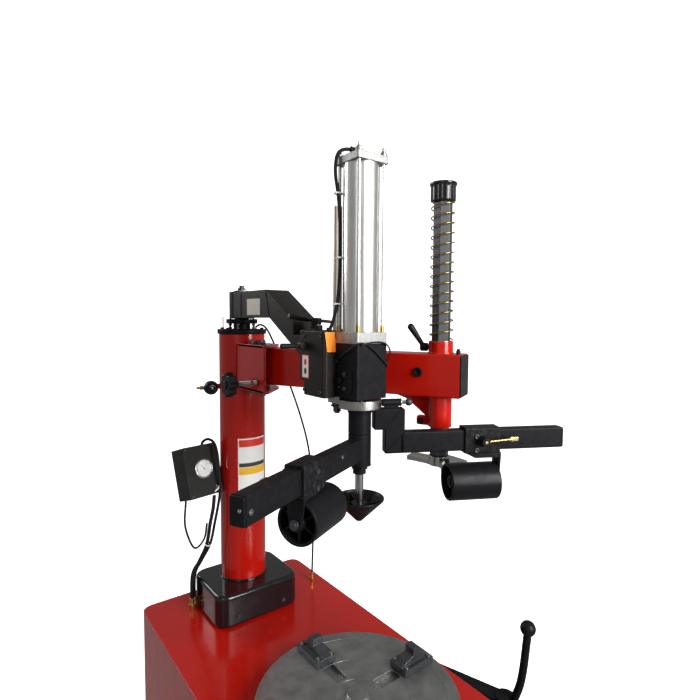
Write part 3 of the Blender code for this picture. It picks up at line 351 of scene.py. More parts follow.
def prism(outline, low, high, plane="XY", edge=0.0012, segments=2):
    place = PLANES[plane]
    bm = bmesh.new()
    bottom = [bm.verts.new(place(u, v, low)) for u, v in outline]
    top = [bm.verts.new(place(u, v, high)) for u, v in outline]
    bm.faces.new(bottom)
    bm.faces.new(top)
    for index in range(len(outline)):
        after = (index + 1) % len(outline)
        bm.faces.new((bottom[index], bottom[after], top[after], top[index]))
    fixed(bm)
    return bevelled(bm, edge, segments)


def framed(outline, hole, low, high, plane="XY"):
    """A prism with a hole, both outlines with the same number of points."""
    place = PLANES[plane]
    bm = bmesh.new()
    rings = [
        [bm.verts.new(place(u, v, depth)) for u, v in ring]
        for ring, depth in ((outline, low), (outline, high), (hole, high), (hole, low))
    ]
    count = len(outline)
    for ring, following in zip(rings, rings[1:] + rings[:1]):
        for index in range(count):
            after = (index + 1) % count
            bm.faces.new((ring[index], ring[after], following[after], following[index]))
    return fixed(bm)


def lathe(profile, sides=64, closed=False):
    """A (radius, height) profile turned about the vertical axis. An open one starts and ends on the axis."""
    bm = bmesh.new()
    rings = []
    for radius, height in profile:
        count = 1 if radius < 1e-6 else sides
        turn = 2 * pi / sides
        rings.append(
            [bm.verts.new((radius * cos(turn * i), radius * sin(turn * i), height)) for i in range(count)]
        )
    for low, high in zip(rings, rings[1:] + (rings[:1] if closed else [])):
        for i in range(sides):
            after = (i + 1) % sides
            corners = (low[i % len(low)], low[after % len(low)], high[after % len(high)], high[i % len(high)])
            face = list(dict.fromkeys(corners))
            if len(face) > 2:
                bm.faces.new(face)
    return fixed(bm)


def aimed(bm, start, end):
    """Moves a shape made up the Z axis so that it runs from start towards end."""
    start, end = Vector(start), Vector(end)
    turn = (end - start).to_track_quat("Z", "Y").to_matrix().to_4x4()
    bm.transform(Matrix.Translation(start) @ turn)
    return bm


def rod(start, end, radius, edge=0.0008, sides=40, tip=None):
    """A round bar with rounded rims, which may taper to another radius at its end."""
    tip = radius if tip is None else tip
    length = (Vector(end) - Vector(start)).length
    edge = min(edge, length * 0.45, tip * 0.45)
    profile = [(0, 0), (radius, 0), (tip, length), (0, length)]
    return aimed(lathe(filleted(profile, edge, 3, closed=False), sides), start, end)


def ring(low, high, outer, inner, edge=0.0006, sides=64, centre=(0.0, 0.0)):
    profile = filleted(rectangle((inner, low), (outer, high)), edge, 3)
    return moved(lathe(profile, sides, closed=True), (*centre, 0.0))


def moved(bm, offset):
    bm.transform(Matrix.Translation(offset))
    return bm


def turned(bm, matrix):
    bm.transform(matrix)
    return bm


def hexagonal(across, turn=0.0):
    """The outline of a hexagon, from its width across the flats."""
    corner = across / ROOT_THREE
    return [(corner * cos(pi / 3 * i + turn), corner * sin(pi / 3 * i + turn)) for i in range(6)]


def hexagon(start, end, across, edge=0.0006):
    return aimed(prism(hexagonal(across), 0, (Vector(end) - Vector(start)).length, edge=edge), start, end)


def bolt(at, outward, across=0.013, height=0.006, washer=True):
    """A hexagonal head on a washer, standing on a surface."""
    at, outward = Vector(at), Vector(outward).normalized()
    shapes = [hexagon(at + outward * 0.0012, at + outward * (height + 0.0012), across)]
    if washer:
        shapes.append(rod(at - outward * 0.0005, at + outward * 0.0014, across * 0.72, 0.0004, 32))
    return shapes


def socket_screw(at, outward, radius=0.005, height=0.004):
    """A round head with a round recess."""
    recess, floor = radius * 0.5, height * 0.45
    profile = [
        (0, floor), (recess, floor), (recess, height), (radius, height), (radius, -0.0005), (0, -0.0005)
    ]
    head = lathe(filleted(profile, radius * 0.14, 2, closed=False), 30)
    return aimed(head, at, Vector(at) + Vector(outward))


def ball(centre, radius):
    bm = bmesh.new()
    bmesh.ops.create_uvsphere(bm, u_segments=32, v_segments=20, radius=radius)
    return moved(fixed(bm), centre)


def sweep(points, radius, sides=16):
    """A round tube along points, with closed ends."""
    points = [Vector(point) for point in points]
    bm = bmesh.new()
    rings, side = [], None
    for index, point in enumerate(points):
        along = (points[min(index + 1, len(points) - 1)] - points[max(index - 1, 0)]).normalized()
        side = along.orthogonal() if side is None else side - along * side.dot(along)
        side.normalize()
        up = along.cross(side)
        turns = [2 * pi * i / sides for i in range(sides)]
        rings.append([bm.verts.new(point + (side * cos(a) + up * sin(a)) * radius) for a in turns])
    for first, second in zip(rings, rings[1:]):
        for i in range(sides):
            after = (i + 1) % sides
            bm.faces.new((first[i], first[after], second[after], second[i]))
    bm.faces.new(rings[0])
    bm.faces.new(rings[-1])
    return fixed(bm)


def smooth_route(points, spacing):
    """Points at even steps along a smooth curve through the given ones."""
    points = [Vector(point) for point in points]
    ends = [2 * points[0] - points[1], *points, 2 * points[-1] - points[-2]]
    route = []
    for a, b, c, d in zip(ends, ends[1:], ends[2:], ends[3:]):
        steps = max(2, round((c - b).length / spacing))
        for step in range(steps):
            t = step / steps
            square, cube = 2 * a - 5 * b + 4 * c - d, 3 * b - a - 3 * c + d
            route.append(0.5 * (2 * b + (c - a) * t + square * t**2 + cube * t**3))
    return [*route, points[-1]]


def weld_bead(start, end, radius=0.0018):
    """A bead of overlapping ripples along a straight joint."""
    start, end = Vector(start), Vector(end)
    count = max(4, round((end - start).length / 0.0014))
    along = (end - start).normalized()
    bm = bmesh.new()
    rings, side = [], along.orthogonal().normalized()
    up = along.cross(side)
    for index in range(count + 1):
        swell = radius * (1.0 if index % 2 else 0.84) * (0.5 if index in (0, count) else 1.0)
        centre = start.lerp(end, index / count)
        rings.append([bm.verts.new(centre + (side * cos(a) + up * sin(a)) * swell) for a in OCTAGON])
    for first, second in zip(rings, rings[1:]):
        for i in range(8):
            after = (i + 1) % 8
            bm.faces.new((first[i], first[after], second[after], second[i]))
    bm.faces.new(rings[0])
    bm.faces.new(rings[-1])
    return fixed(bm)


def refined(node, edge=0.001, segments=2):
    """A CAD node's own shape with its flat faces made whole and its edges rounded."""
    bm = bmesh.new()
    bm.from_mesh(frame["nodes"][node].data)
    bmesh.ops.remove_doubles(bm, verts=bm.verts, dist=1e-5)
    bmesh.ops.dissolve_limit(bm, angle_limit=radians(1.0), verts=bm.verts, edges=bm.edges)
    return bevelled(bm, edge, segments, 38.0)


def carved(bm, cutter):
    """Cuts one shape out of another."""
    pair = []
    for shape in (bm, cutter):
        mesh = bpy.data.meshes.new("carving")
        shape.to_mesh(mesh)
        shape.free()
        pair.append(bpy.data.objects.new("carving", mesh))
        bpy.context.scene.collection.objects.link(pair[-1])
    difference = pair[0].modifiers.new("difference", "BOOLEAN")
    difference.operation = "DIFFERENCE"
    difference.solver = "EXACT"
    difference.object = pair[1]
    mesh = bpy.data.meshes.new_from_object(pair[0].evaluated_get(bpy.context.evaluated_depsgraph_get()))
    result = bmesh.new()
    result.from_mesh(mesh)
    for obj in pair:
        bpy.data.objects.remove(obj)
    return result


def piece(name, body, surface, shapes, replaces=(), place=None):
    """Joins shapes into one named object on a body. Its mesh is in the row frame, like a CAD node's."""
    whole = bmesh.new()
    for shape in shapes:
        mesh = bpy.data.meshes.new("shape")
        shape.to_mesh(mesh)
        shape.free()
        whole.from_mesh(mesh)
        bpy.data.meshes.remove(mesh)
    if place is not None:
        whole.transform(place)
    mesh = bpy.data.meshes.new(name)
    whole.to_mesh(mesh)
    whole.free()
    mesh.shade_smooth()
    mesh.set_sharp_from_angle(angle=radians(38))
    mesh.materials.append(surface)
    obj = bpy.data.objects.new(name, mesh)
    bpy.context.scene.collection.objects.link(obj)
    normals = obj.modifiers.new("normals", "WEIGHTED_NORMAL")
    normals.keep_sharp = True
    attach(obj, body)
    if replaces:
        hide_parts(*replaces)
    return obj


# Stand -----------------------------------------------------------------------------------------------


def base_and_cabinet():
    piece("floor_plate", "stand", RED, [refined("base_plate", 0.0015)], ["base_plate"])
    piece("cabinet_shell", "stand", RED, [refined("cabinet", 0.0012)], ["cabinet"])
    low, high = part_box("cabinet")
    x = low.x
    panel = rectangle((0.010, 0.110), (0.460, 0.480))
    shapes = [prism(filleted(panel, 0.018), x - 0.0016, x, "YZ", 0.0006)]
    for row in range(7):
        z = 0.160 + 0.020 * row
        louvre = rectangle((0.150, z), (0.320, z + 0.008))
        shapes.append(prism(filleted(louvre, 0.004), x - 0.0052, x - 0.0010, "YZ", 0.0014))
    piece("side_panel", "stand", RED, shapes)
    screws = []
    for y in (0.028, 0.235, 0.442):
        for z in (0.128, 0.462):
            screws.append(socket_screw((x - 0.0014, y, z), (-1, 0, 0), 0.0055, 0.0036))
    for y in (-0.260, 0.700):
        for z in (0.060, 0.570):
            screws += bolt((high.x, y, z), (1, 0, 0), 0.013, 0.005)
    for side in (-0.180, 0.180):
        screws += bolt((side, low.y, 0.560), (0, -1, 0), 0.013, 0.005)
    piece("cabinet_screws", "stand", DARK, screws)
    trim = ring(DECK_Z - 0.001, DECK_Z + 0.004, 0.0700, 0.0600, 0.0015)
    piece("spindle_seal", "stand", RUBBER, [trim])
    lip = filleted(rectangle((-0.204, 0.028), (0.204, 0.152)), 0.010)
    gap = filleted(rectangle((-0.198, 0.032), (0.198, 0.148)), 0.008)
    edge = framed(lip, gap, low.y - 0.0025, low.y + 0.002, "XZ")
    piece("pedal_opening_trim", "stand", RUBBER, [edge])
    ribs = [refined("bead_pad", 0.004, 3)]
    for row in range(9):
        z = 0.196 + 0.030 * row
        ribs.append(box((0.3035, -0.150, z), (0.3075, 0.070, z + 0.010), 0.0016))
    piece("ribbed_bead_pad", "stand", RUBBER, ribs, ["bead_pad"])


def column_and_foot():
    low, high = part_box("column_base")
    outline = filleted(rectangle((low.x, low.y), (high.x, high.y)), 0.045, 10)
    foot = prism(outline, low.z, high.z, edge=0.011, segments=5)
    collar = ring(
        high.z - 0.004, high.z + 0.004, COLUMN_RADIUS + 0.006, COLUMN_RADIUS - 0.001, 0.002, 72, (0, COLUMN_Y)
    )
    piece("column_foot_cover", "stand", GLOSS, [foot, collar], ["column_base"])
    screws = [socket_screw((x, low.y + 0.0002, 0.650), (0, -1, 0), 0.006, 0.004) for x in (-0.075, 0.075)]
    piece("foot_screws", "stand", DARK, screws)

    inner = COLUMN_RADIUS - 0.005
    pipe = ring(DECK_Z + 0.0003, COLUMN_TOP, COLUMN_RADIUS, inner, 0.001, 128, (0, COLUMN_Y))
    bracket = box((-0.0759, 0.622, 1.000), (-0.061, 0.630, 1.060), 0.0012)
    piece("column_pipe", "stand", RED, [pipe, bracket], ["column"])


def curved_patch(low, high, start, end, lift, thickness=0.0003):
    """A sticker that follows the column's surface between two angles."""
    steps = 24
    inner, outer = COLUMN_RADIUS + lift, COLUMN_RADIUS + lift + thickness
    angles = [radians(start + (end - start) * step / steps) for step in range(steps + 1)]
    outline = [(outer * cos(a), outer * sin(a)) for a in angles]
    outline += [(inner * cos(a), inner * sin(a)) for a in reversed(angles)]
    return moved(prism(outline, low, high, edge=0.0), (0, COLUMN_Y, 0))


def column_labels():
    """A blank sticker with plain colour bands."""
    start, end = -127.0, -47.0
    bands = (
        (WHITE_LABEL, "column_label", ((0.962, 1.162),), 0.0, 0.0),
        (RED_LABEL, "column_label_red", ((1.136, 1.158),), 0.0004, 2.5),
        (GREY_LABEL, "column_label_dark", ((1.074, 1.086), (0.966, 0.976)), 0.0004, 2.5),
        (YELLOW_LABEL, "column_label_yellow", ((1.050, 1.072),), 0.0004, 2.5),
    )
    for surface, name, rows, lift, inset in bands:
        shapes = [curved_patch(low, high, start + inset, end - inset, lift) for low, high in rows]
        piece(name, "stand", surface, shapes)


def column_cap():
    bottom, plate_top = COLUMN_TOP + 0.0003, 1.495
    plate = filleted(rectangle((0, bottom), (0.075, plate_top)), 0.0025, 3, closed=False)
    neck = filleted(rectangle((0, 1.494), (0.026, 1.513)), 0.001, 2, closed=False)
    flange = filleted(rectangle((0, 1.512), (0.048, 1.5262)), 0.002, 3, closed=False)
    spindle = filleted(rectangle((0, 1.520), (0.0215, 1.6125)), 0.001, 2, closed=False)
    shapes = [moved(lathe(p, 72), (0, COLUMN_Y, 0)) for p in (plate, neck, flange, spindle)]
    for step in range(6):
        angle = pi / 3 * step + 0.4
        spot = (0.062 * cos(angle), COLUMN_Y + 0.062 * sin(angle), plate_top)
        shapes.append(socket_screw(spot, (0, 0, 1), 0.0055, 0.0050))
    piece("cap_plate", "stand", BLACK, shapes, ["column_cap"])

    studs = []
    for step in range(4):
        angle = pi / 2 * step + pi / 4
        x, y = 0.038 * cos(angle), COLUMN_Y + 0.038 * sin(angle)
        studs.append(rod((x, y, 1.494), (x, y, 1.5275), 0.0035, 0.0004, 20))
        studs.append(hexagon((x, y, 1.4955), (x, y, 1.5010), 0.0105))
        studs.append(hexagon((x, y, 1.5060), (x, y, 1.5118), 0.0105))
    x, y = -0.047, 0.631
    studs.append(rod((x, y, 1.4945), (x, y, 1.5320), 0.0016, 0.0003, 14))
    studs.append(hexagon((x, y, 1.4950), (x, y, 1.4990), 0.0065))
    piece("cap_studs", "stand", DARK, studs)
    washer = rod((0, COLUMN_Y, 1.6108), (0, COLUMN_Y, 1.6138), 0.0250, 0.0006, 48)
    nut = hexagon((0, COLUMN_Y, 1.6138), (0, COLUMN_Y, 1.6220), 0.0230)
    tip = rod((0, COLUMN_Y, 1.6200), (0, COLUMN_Y, 1.6300), 0.0075, 0.0010, 24)
    piece("cap_washer", "stand", ZINC, [washer])
    piece("cap_nut", "stand", DARK, [nut, tip])


def arm_bracket():
    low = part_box("arm_bracket")[0]
    left, front, back = low.x, low.y, 0.530
    flange = [(left, back), (left, front), (left + 0.014, front), (0.045, 0.440), (0.045, back)]
    shapes = [
        prism(filleted(flange, 0.004), 1.4455, 1.4535, edge=0.0010),
        prism(filleted(flange, 0.004), 1.3190, 1.3280, edge=0.0010),
        box((left, front, 1.3200), (left + 0.008, 0.545, 1.4530), 0.0014),
        weld_bead((left - 0.001, 0.5400, 1.326), (left - 0.001, 0.5400, 1.447), 0.003),
    ]
    for x in (-0.030, 0.030):
        shapes.append(weld_bead((x, 0.5320, 1.3285), (x + 0.020, 0.5270, 1.3285), 0.002))
    piece("hinge_bracket", "stand", RED, shapes, ["arm_bracket"])
    bolts = []
    for x, y in ((-0.030, 0.398), (-0.030, 0.470)):
        bolts += bolt((x, y, 1.4535), (0, 0, 1), 0.014, 0.007)
        bolts += bolt((x, y, 1.3190), (0, 0, -1), 0.014, 0.007)
    _, stop_y, stop_z = JOINTS["stop_knob_turn"]["pos_m"]
    bolts.append(rod((left - 0.0028, stop_y, stop_z), (left - 0.0002, stop_y, stop_z), 0.0095, 0.0006, 6))
    piece("bracket_bolts", "stand", DARK, bolts)
    pin = filleted(
        [(0, 1.3050), (0.017, 1.3050), (0.017, 1.3187), (0.0122, 1.3187)], 0.001, 3, closed=False
    ) + filleted([(0.0122, 1.4538), (0.017, 1.4538), (0.017, 1.4640), (0, 1.4640)], 0.002, 3, closed=False)
    piece("hinge_bolt", "stand", DARK, [moved(lathe(pin, 48), (0, HINGE_Y, 0))], ["hinge_pin"])


GAUGE = (
    Matrix.Translation((-0.135, 0.630, 1.056))
    @ Matrix.Rotation(radians(10), 4, "Z")
    @ Matrix.Rotation(radians(-18), 4, "X")
)


def gauge():
    """The pressure gauge's case, bezel, blank dial with plain ticks, needle and glass."""
    x, y, z = 0.0565, 0.035, 0.077
    case = box((-x, -y, -z), (x, y, z), 0.0030, 4)
    piece("gauge_case", "stand", CASE, [case], ["gauge_box"], GAUGE)
    dial_centre = Vector((0.002, -y, 0.005))
    face_on = Matrix.Translation(dial_centre) @ Matrix.Rotation(pi / 2, 4, "X") @ Matrix.Diagonal(
        (0.93, 0.93, 1, 1)
    )
    bezel = filleted(
        [(0.0270, -0.001), (0.0322, -0.001), (0.0322, 0.0050), (0.0290, 0.0062), (0.0270, 0.0045)], 0.0008, 3
    )
    piece("gauge_bezel", "stand", STEEL, [lathe(bezel, 72, closed=True)], (), GAUGE @ face_on)
    dial = lathe(rectangle((0, 0.0), (0.0272, 0.0022)), 64)
    piece("gauge_dial", "stand", WHITE_LABEL, [dial], (), GAUGE @ face_on)
    marks = []
    for step in range(31):
        angle = radians(225 - 9 * step)
        reach = 0.0195 if step % 5 == 0 else 0.0222
        tick = box((reach, -0.00030, 0.0021), (0.0248, 0.00030, 0.0025), 0.0)
        marks.append(turned(tick, Matrix.Rotation(angle, 4, "Z")))
    needle = prism(
        [(-0.006, -0.0008), (-0.006, 0.0008), (0.019, 0.0002), (0.019, -0.0002)], 0.0030, 0.0036, edge=0.0
    )
    marks.append(turned(needle, Matrix.Rotation(radians(128), 4, "Z")))
    marks.append(rod((0, 0, 0.0022), (0, 0, 0.0042), 0.0022, 0.0004, 24))
    piece("gauge_marks", "stand", GREY_LABEL, marks, (), GAUGE @ face_on)
    glass = lathe([(0, 0.0046), (0.0268, 0.0046), (0.0268, 0.0052), (0.018, 0.0056), (0, 0.0058)], 64)
    piece("gauge_glass", "stand", GLASS, [glass], (), GAUGE @ face_on)
    screws = [
        socket_screw((sx, -y, sz), (0, -1, 0), 0.0030, 0.0016) for sx in (-0.048, 0.048) for sz in (
            -0.069, 0.069
        )
    ]
    piece("gauge_screws", "stand", DARK, screws, (), GAUGE)
    elbow = [rod((-0.088, 0.590, 1.012), (-0.088, 0.574, 1.012), 0.0062, 0.0008, 24)]
    elbow.append(hexagon((-0.088, 0.592, 1.012), (-0.088, 0.584, 1.012), 0.0150))
    elbow.append(rod((-0.088, 0.578, 1.012), (-0.102, 0.578, 1.000), 0.0058, 0.0008, 24))
    piece("gauge_elbow", "stand", ZINC, elbow)


def regulator():
    centre, depth = Vector((-0.117, 0.575, REGULATOR_Z)), Vector((0, -1, 0))
    profile = [
        (0, -0.001), (0.0150, -0.001), (0.0150, 0.006), (0.0200, 0.008), (0.0200, 0.0225), (0.0180, 0.0270)
    ]
    profile += [(0.0120, 0.0270), (0.0115, 0.0250), (0, 0.0250)]
    body = aimed(lathe(filleted(profile, 0.0012, 3, closed=False), 56), centre, centre + depth)
    grips = []
    for step in range(28):
        grip = box((-0.0007, 0.0195, 0.0095), (0.0007, 0.0207, 0.0215), 0.0003, 2)
        grips.append(aimed(turned(grip, Matrix.Rotation(2 * pi * step / 28, 4, "Z")), centre, centre + depth))
    piece("regulator_knob", "stand", PLASTIC, [body, *grips], ["regulator"])
    front = centre + depth * 0.0250
    marks = [rod(front, front + depth * 0.0016, 0.0022, 0.0003, 20)]
    for step in range(5):
        angle = radians(30 + 30 * step)
        mark = box((0.0065, -0.0005, 0), (0.0098, 0.0005, 0.0006), 0.0)
        marks.append(aimed(turned(mark, Matrix.Rotation(angle, 4, "Z")), front, front + depth))
    piece("regulator_marks", "stand", WHITE_LABEL, marks)
    stub = [rod((-0.112, 0.568, REGULATOR_Z), (-0.0665, 0.586, REGULATOR_Z), 0.0055, 0.0005, 24)]
    stub.append(hexagon((-0.088, 0.5775, REGULATOR_Z), (-0.078, 0.5815, REGULATOR_Z), 0.0150))
    piece("regulator_stub", "stand", RED, stub)
    nipple = [hexagon((-0.136, 0.572, REGULATOR_Z), (-0.146, 0.572, REGULATOR_Z), 0.0110)]
    nipple.append(rod((-0.144, 0.572, REGULATOR_Z), (-0.156, 0.572, REGULATOR_Z), 0.0036, 0.0006, 20))
    piece("regulator_nipple", "stand", BRASS, nipple)


THIN_HOSE = [
    (-0.1785, 0.6123, 0.9765),
    (-0.1806, 0.6139, 0.8985),
    (-0.1599, 0.5980, 0.8335),
    (-0.1300, 0.5955, 0.8530),
    (-0.1200, 0.5958, 0.9000),
]
THICK_HOSE = [
    (-0.1000, 0.5850, 0.9860),
    (-0.1040, 0.5860, 0.9450),
    (-0.1120, 0.5900, 0.9000),
    (-0.1180, 0.6050, 0.8300),
    (-0.1300, 0.6350, 0.7700),
    (-0.1480, 0.6500, 0.7200),
    (-0.1500, 0.6500, 0.6203),
]
SERVICE_HOSE = [
    (0.0560, 0.6150, 1.4990),
    (0.0760, 0.6150, 1.5080),
    (0.1000, 0.6080, 1.4850),
    (0.1410, 0.6000, 1.3900),
    (0.2000, 0.5700, 1.2000),
    (0.2320, 0.5600, 1.0500),
    (0.2450, 0.5600, 0.8500),
    (0.2400, 0.5600, 0.6203),
]
PRESS_HOSE = [
    (-0.0150, 0.0100, 1.8900),
    (-0.0300, 0.0170, 1.8900),
    (-0.0410, 0.0225, 1.8850),
    (-0.0468, 0.0275, 1.8720),
    (-0.0470, 0.0310, 1.8400),
    (-0.0420, 0.0285, 1.7980),
    (-0.0389, 0.0262, 1.7540),
    (-0.0377, 0.0252, 1.6600),
    (-0.0395, 0.0268, 1.5950),
    (-0.0425, 0.0290, 1.5600),
    (-0.0490, 0.0360, 1.5200),
    (-0.0540, 0.0420, 1.5030),
]
GAUGE_LOOP = [
    (-0.118, 0.640, 1.128),
    (-0.116, 0.632, 1.146),
    (-0.104, 0.618, 1.155),
    (-0.091, 0.604, 1.143),
    (-0.086, 0.592, 1.110),
    (-0.085, 0.583, 1.060),
    (-0.086, 0.576, 1.020),
    (-0.088, 0.575, 0.980),
    (-0.100, 0.584, 0.900),
    (-0.108, 0.602, 0.830),
    (-0.122, 0.636, 0.770),
    (-0.139, 0.651, 0.720),
    (-0.141, 0.652, 0.6215),
]


def stand_hoses():
    for name, route, radius, node in (
        ("gauge_thin_hose", THIN_HOSE, 0.0032, "gauge_hose_thin"),
        ("gauge_thick_hose", THICK_HOSE, 0.0055, "gauge_hose_thick"),
        ("service_air_hose", SERVICE_HOSE, 0.0032, "service_hose"),
    ):
        piece(name, "stand", RUBBER, [sweep(smooth_route(route, 0.006), radius, 18)], [node])
    loop = sweep(smooth_route(GAUGE_LOOP, 0.005), 0.0042, 16)
    piece("gauge_loop_hose", "stand", RUBBER, [loop])
    fittings = []
    for x, y, z, radius in (
        (-0.1500, 0.6500, DECK_Z, 0.0085), (-0.141, 0.652, DECK_Z, 0.007), (0.24, 0.56, DECK_Z, 0.007)
    ):
        fittings.append(hexagon((x, y, z), (x, y, z + 0.012), radius * 2))
        fittings.append(rod((x, y, z + 0.010), (x, y, z + 0.030), radius * 0.85, 0.001, 28))
    fittings.append(hexagon((0.052, 0.615, 1.4953), (0.052, 0.615, 1.5010), 0.0120))
    piece("hose_fittings", "stand", BRASS, fittings)
    tie = ring(0, 0.0035, 0.0100, 0.0080, 0.0005, 28)
    ties = [aimed(tie, (-0.1150, 0.6020, 0.8330), (-0.1175, 0.6095, 0.8130))]
    piece("hose_tie", "stand", WHITE_TIE, ties)


def drive():
    """The motor with its fins, the gearbox, the pulleys and the grooved belt."""
    x_axis, worm_y, motor_z, worm_z = (1, 0, 0), 0.070, 0.200, JOINTS["gearbox_pulley_spin"]["pos_m"][2]
    fins = [refined("motor", 0.0015)]
    for step in range(24):
        fin = box((-0.085, 0.060, -0.0012), (0.070, 0.069, 0.0012), 0.0005)
        turn = Matrix.Translation((0, worm_y, motor_z)) @ Matrix.Rotation(2 * pi * step / 24, 4, "X")
        if not 14 <= step <= 22:
            fins.append(turned(fin, turn))
    cover = filleted(
        [(0, -0.128), (0.058, -0.128), (0.066, -0.120), (0.066, -0.092), (0, -0.092)], 0.004, 4, closed=False
    )
    fins.append(aimed(lathe(cover, 56), (0, worm_y, motor_z), (1, worm_y, motor_z)))
    fins.append(
        box((-0.045, worm_y - 0.098, motor_z - 0.030), (0.045, worm_y - 0.058, motor_z + 0.034), 0.003)
    )
    piece("finned_motor", "stand", DARK, fins, ["motor"])
    case = [refined("gearbox", 0.003)]
    for y, z in ((0.030, 0.430), (0.110, 0.430), (0.030, 0.510), (0.110, 0.510)):
        case += bolt((0.110, y, z), x_axis, 0.010, 0.005)
    piece("ribbed_gearbox", "stand", CAST, case, ["gearbox"])
    for node, radius, height in (("gearbox_pulley", 0.080, worm_z), ("motor_pulley", 0.035, motor_z)):
        bore = 0.0125 if node == "gearbox_pulley" else 0.010
        profile = [(bore, -0.011), (radius, -0.011), (radius, -0.007), (radius - 0.008, -0.005)]
        profile += [(radius - 0.008, 0.005), (radius, 0.007), (radius, 0.011), (bore, 0.011)]
        wheel = aimed(
            lathe(filleted(profile, 0.0008, 2), 72, closed=True),
            (0.190, worm_y, height),
            (1.19, worm_y, height),
        )
        web = [ring(0.0108, 0.0125, radius * 0.62, radius * 0.50, 0.0008, 56)]
        web = [aimed(shape, (0.190, worm_y, height), (1.19, worm_y, height)) for shape in web]
        piece(node + "_fine", node, CAST, [wheel, *web], [node])
    piece("v_belt", "stand", RUBBER, [refined("drive_belt", 0.0012)], ["drive_belt"])
    barrel = [refined("breaker_cylinder", 0.003)]
    low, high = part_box("breaker_cylinder")
    centre = ((low.y + high.y) / 2, JOINTS["breaker_arm_swing"]["pos_m"][2])
    for x in (-0.172, 0.172):
        cap = box(
            (x - 0.008, centre[0] - 0.078, centre[1] - 0.078),
            (x + 0.008, centre[0] + 0.078, centre[1] + 0.078),
            0.004,
        )
        barrel.append(cap)
    piece("breaker_barrel", "stand", ALUMINIUM, barrel, ["breaker_cylinder"])


# Turntable, pedals and bead breaker --------------------------------------------------------------------


def turntable():
    piece("table_disc", "turntable", TABLE, [refined("turntable", 0.0014)], ["turntable"])
    rings = []
    for radius in (0.052, 0.120, 0.205):
        rings.append(ring(TABLE_HIGH - 0.0005, TABLE_HIGH + 0.0006, radius + 0.0012, radius, 0.0003, 96))
    cap = filleted(
        [(0, TABLE_HIGH + 0.006), (0.024, TABLE_HIGH + 0.006), (0.030, TABLE_HIGH - 0.001)],
        0.003,
        4,
        closed=False,
    )
    cap.append((0, TABLE_HIGH - 0.001))
    piece("table_hub", "turntable", TABLE, [lathe(cap, 56), *rings])
    for index in range(4):
        name = f"jaw_{index + 1}"
        turn = Matrix.Rotation(index * pi / 2, 4, "Z")
        teeth = [turned(refined(name, 0.0009), turn.inverted())]
        for row in range(5):
            y = -0.0120 + 0.0060 * row
            teeth.append(box((0.1795, y - 0.0016, 0.7000), (0.1850, y + 0.0016, 0.7142), 0.0006, 2))
        piece(name + "_fine", name, DARK, teeth, [name], turn)
        bolts = []
        for x in (0.135, 0.210):
            bolts.append(socket_screw((x, 0.020, 0.6818), (0, 0, 1), 0.0050, 0.0038))
            bolts.append(socket_screw((x, -0.020, 0.6818), (0, 0, 1), 0.0050, 0.0038))
        piece(name + "_screws", name, ZINC, bolts, (), turn)


def pedals():
    for index in range(3):
        name = f"pedal_{index + 1}"
        x, y, z = JOINTS[name + "_tilt"]["pos_m"]
        piece(name + "_lever", name, BLACK, [refined(name, 0.0014)], [name])
        sole = [(-0.134, 0.0025), (-0.134, -0.0020), (-0.190, -0.0230), (-0.191, -0.0185)]
        pad = [prism(sole, -0.033, 0.033, "YZ", 0.0012)]
        for row in range(5):
            t = (row + 0.5) / 5
            at = Vector((0, -0.136 - 0.052 * t, 0.0030 - 0.0205 * t))
            pad.append(
                box(at + Vector((-0.030, -0.0022, -0.001)), at + Vector((0.030, 0.0022, 0.0022)), 0.0009)
            )
        piece(name + "_pad", name, RUBBER, pad, (), Matrix.Translation((x, y, z)))


def bead_breaker():
    hinge, tip = Vector(JOINTS["breaker_arm_swing"]["pos_m"]), Vector(JOINTS["breaker_blade_tilt"]["pos_m"])
    place = turned_frame(tip - hinge, hinge.x, hinge.y)
    reach, z = (tip - hinge).length, hinge.z
    low, high = z + 0.028, z + 0.078
    square = filleted(rectangle((-0.025, low), (0.025, high)), 0.005, 4)
    fork_x = (hinge.y - 0.330) / sin(-atan2(tip.y - hinge.y, tip.x - hinge.x))
    shapes = [
        prism(square, 0.026, reach - 0.020, "YZ", 0.0006),
        ring(0.250, 0.460, 0.032, 0.0166, 0.0015, 56),
        moved(ring(low, high + 0.004, 0.030, 0.0126, 0.0015, 48), (reach, 0, 0)),
        sweep(
            smooth_route(
                [(reach + 0.018, 0, high - 0.02), (reach + 0.045, 0, 0.480), (reach + 0.060, 0, 0.630)], 0.006
            ),
            0.0115,
            24,
        ),
        box((fork_x - 0.036, -0.005, 0.300), (fork_x - 0.024, 0.005, low + 0.006), 0.001),
        box((fork_x + 0.024, -0.005, 0.300), (fork_x + 0.036, 0.005, low + 0.006), 0.001),
        weld_bead((0.033, -0.024, high), (0.033, 0.024, high), 0.0025),
    ]
    piece("breaker_lever", "breaker_arm", BLACK, shapes, ["breaker_arm"], place)
    grip = ball((reach + 0.060, 0, 0.640), 0.022)
    piece("breaker_grip", "breaker_arm", PLASTIC, [grip], (), place)
    piece(
        "breaker_blade_fine",
        "breaker_blade",
        BLACK,
        [refined("breaker_blade", 0.0012)],
        ["breaker_blade"],
    )
    piece(
        "breaker_pull_rod",
        "breaker_rod",
        STEEL,
        [refined("breaker_rod", 0.0010)],
        ["breaker_rod"],
    )


# Swing arm -------------------------------------------------------------------------------------------


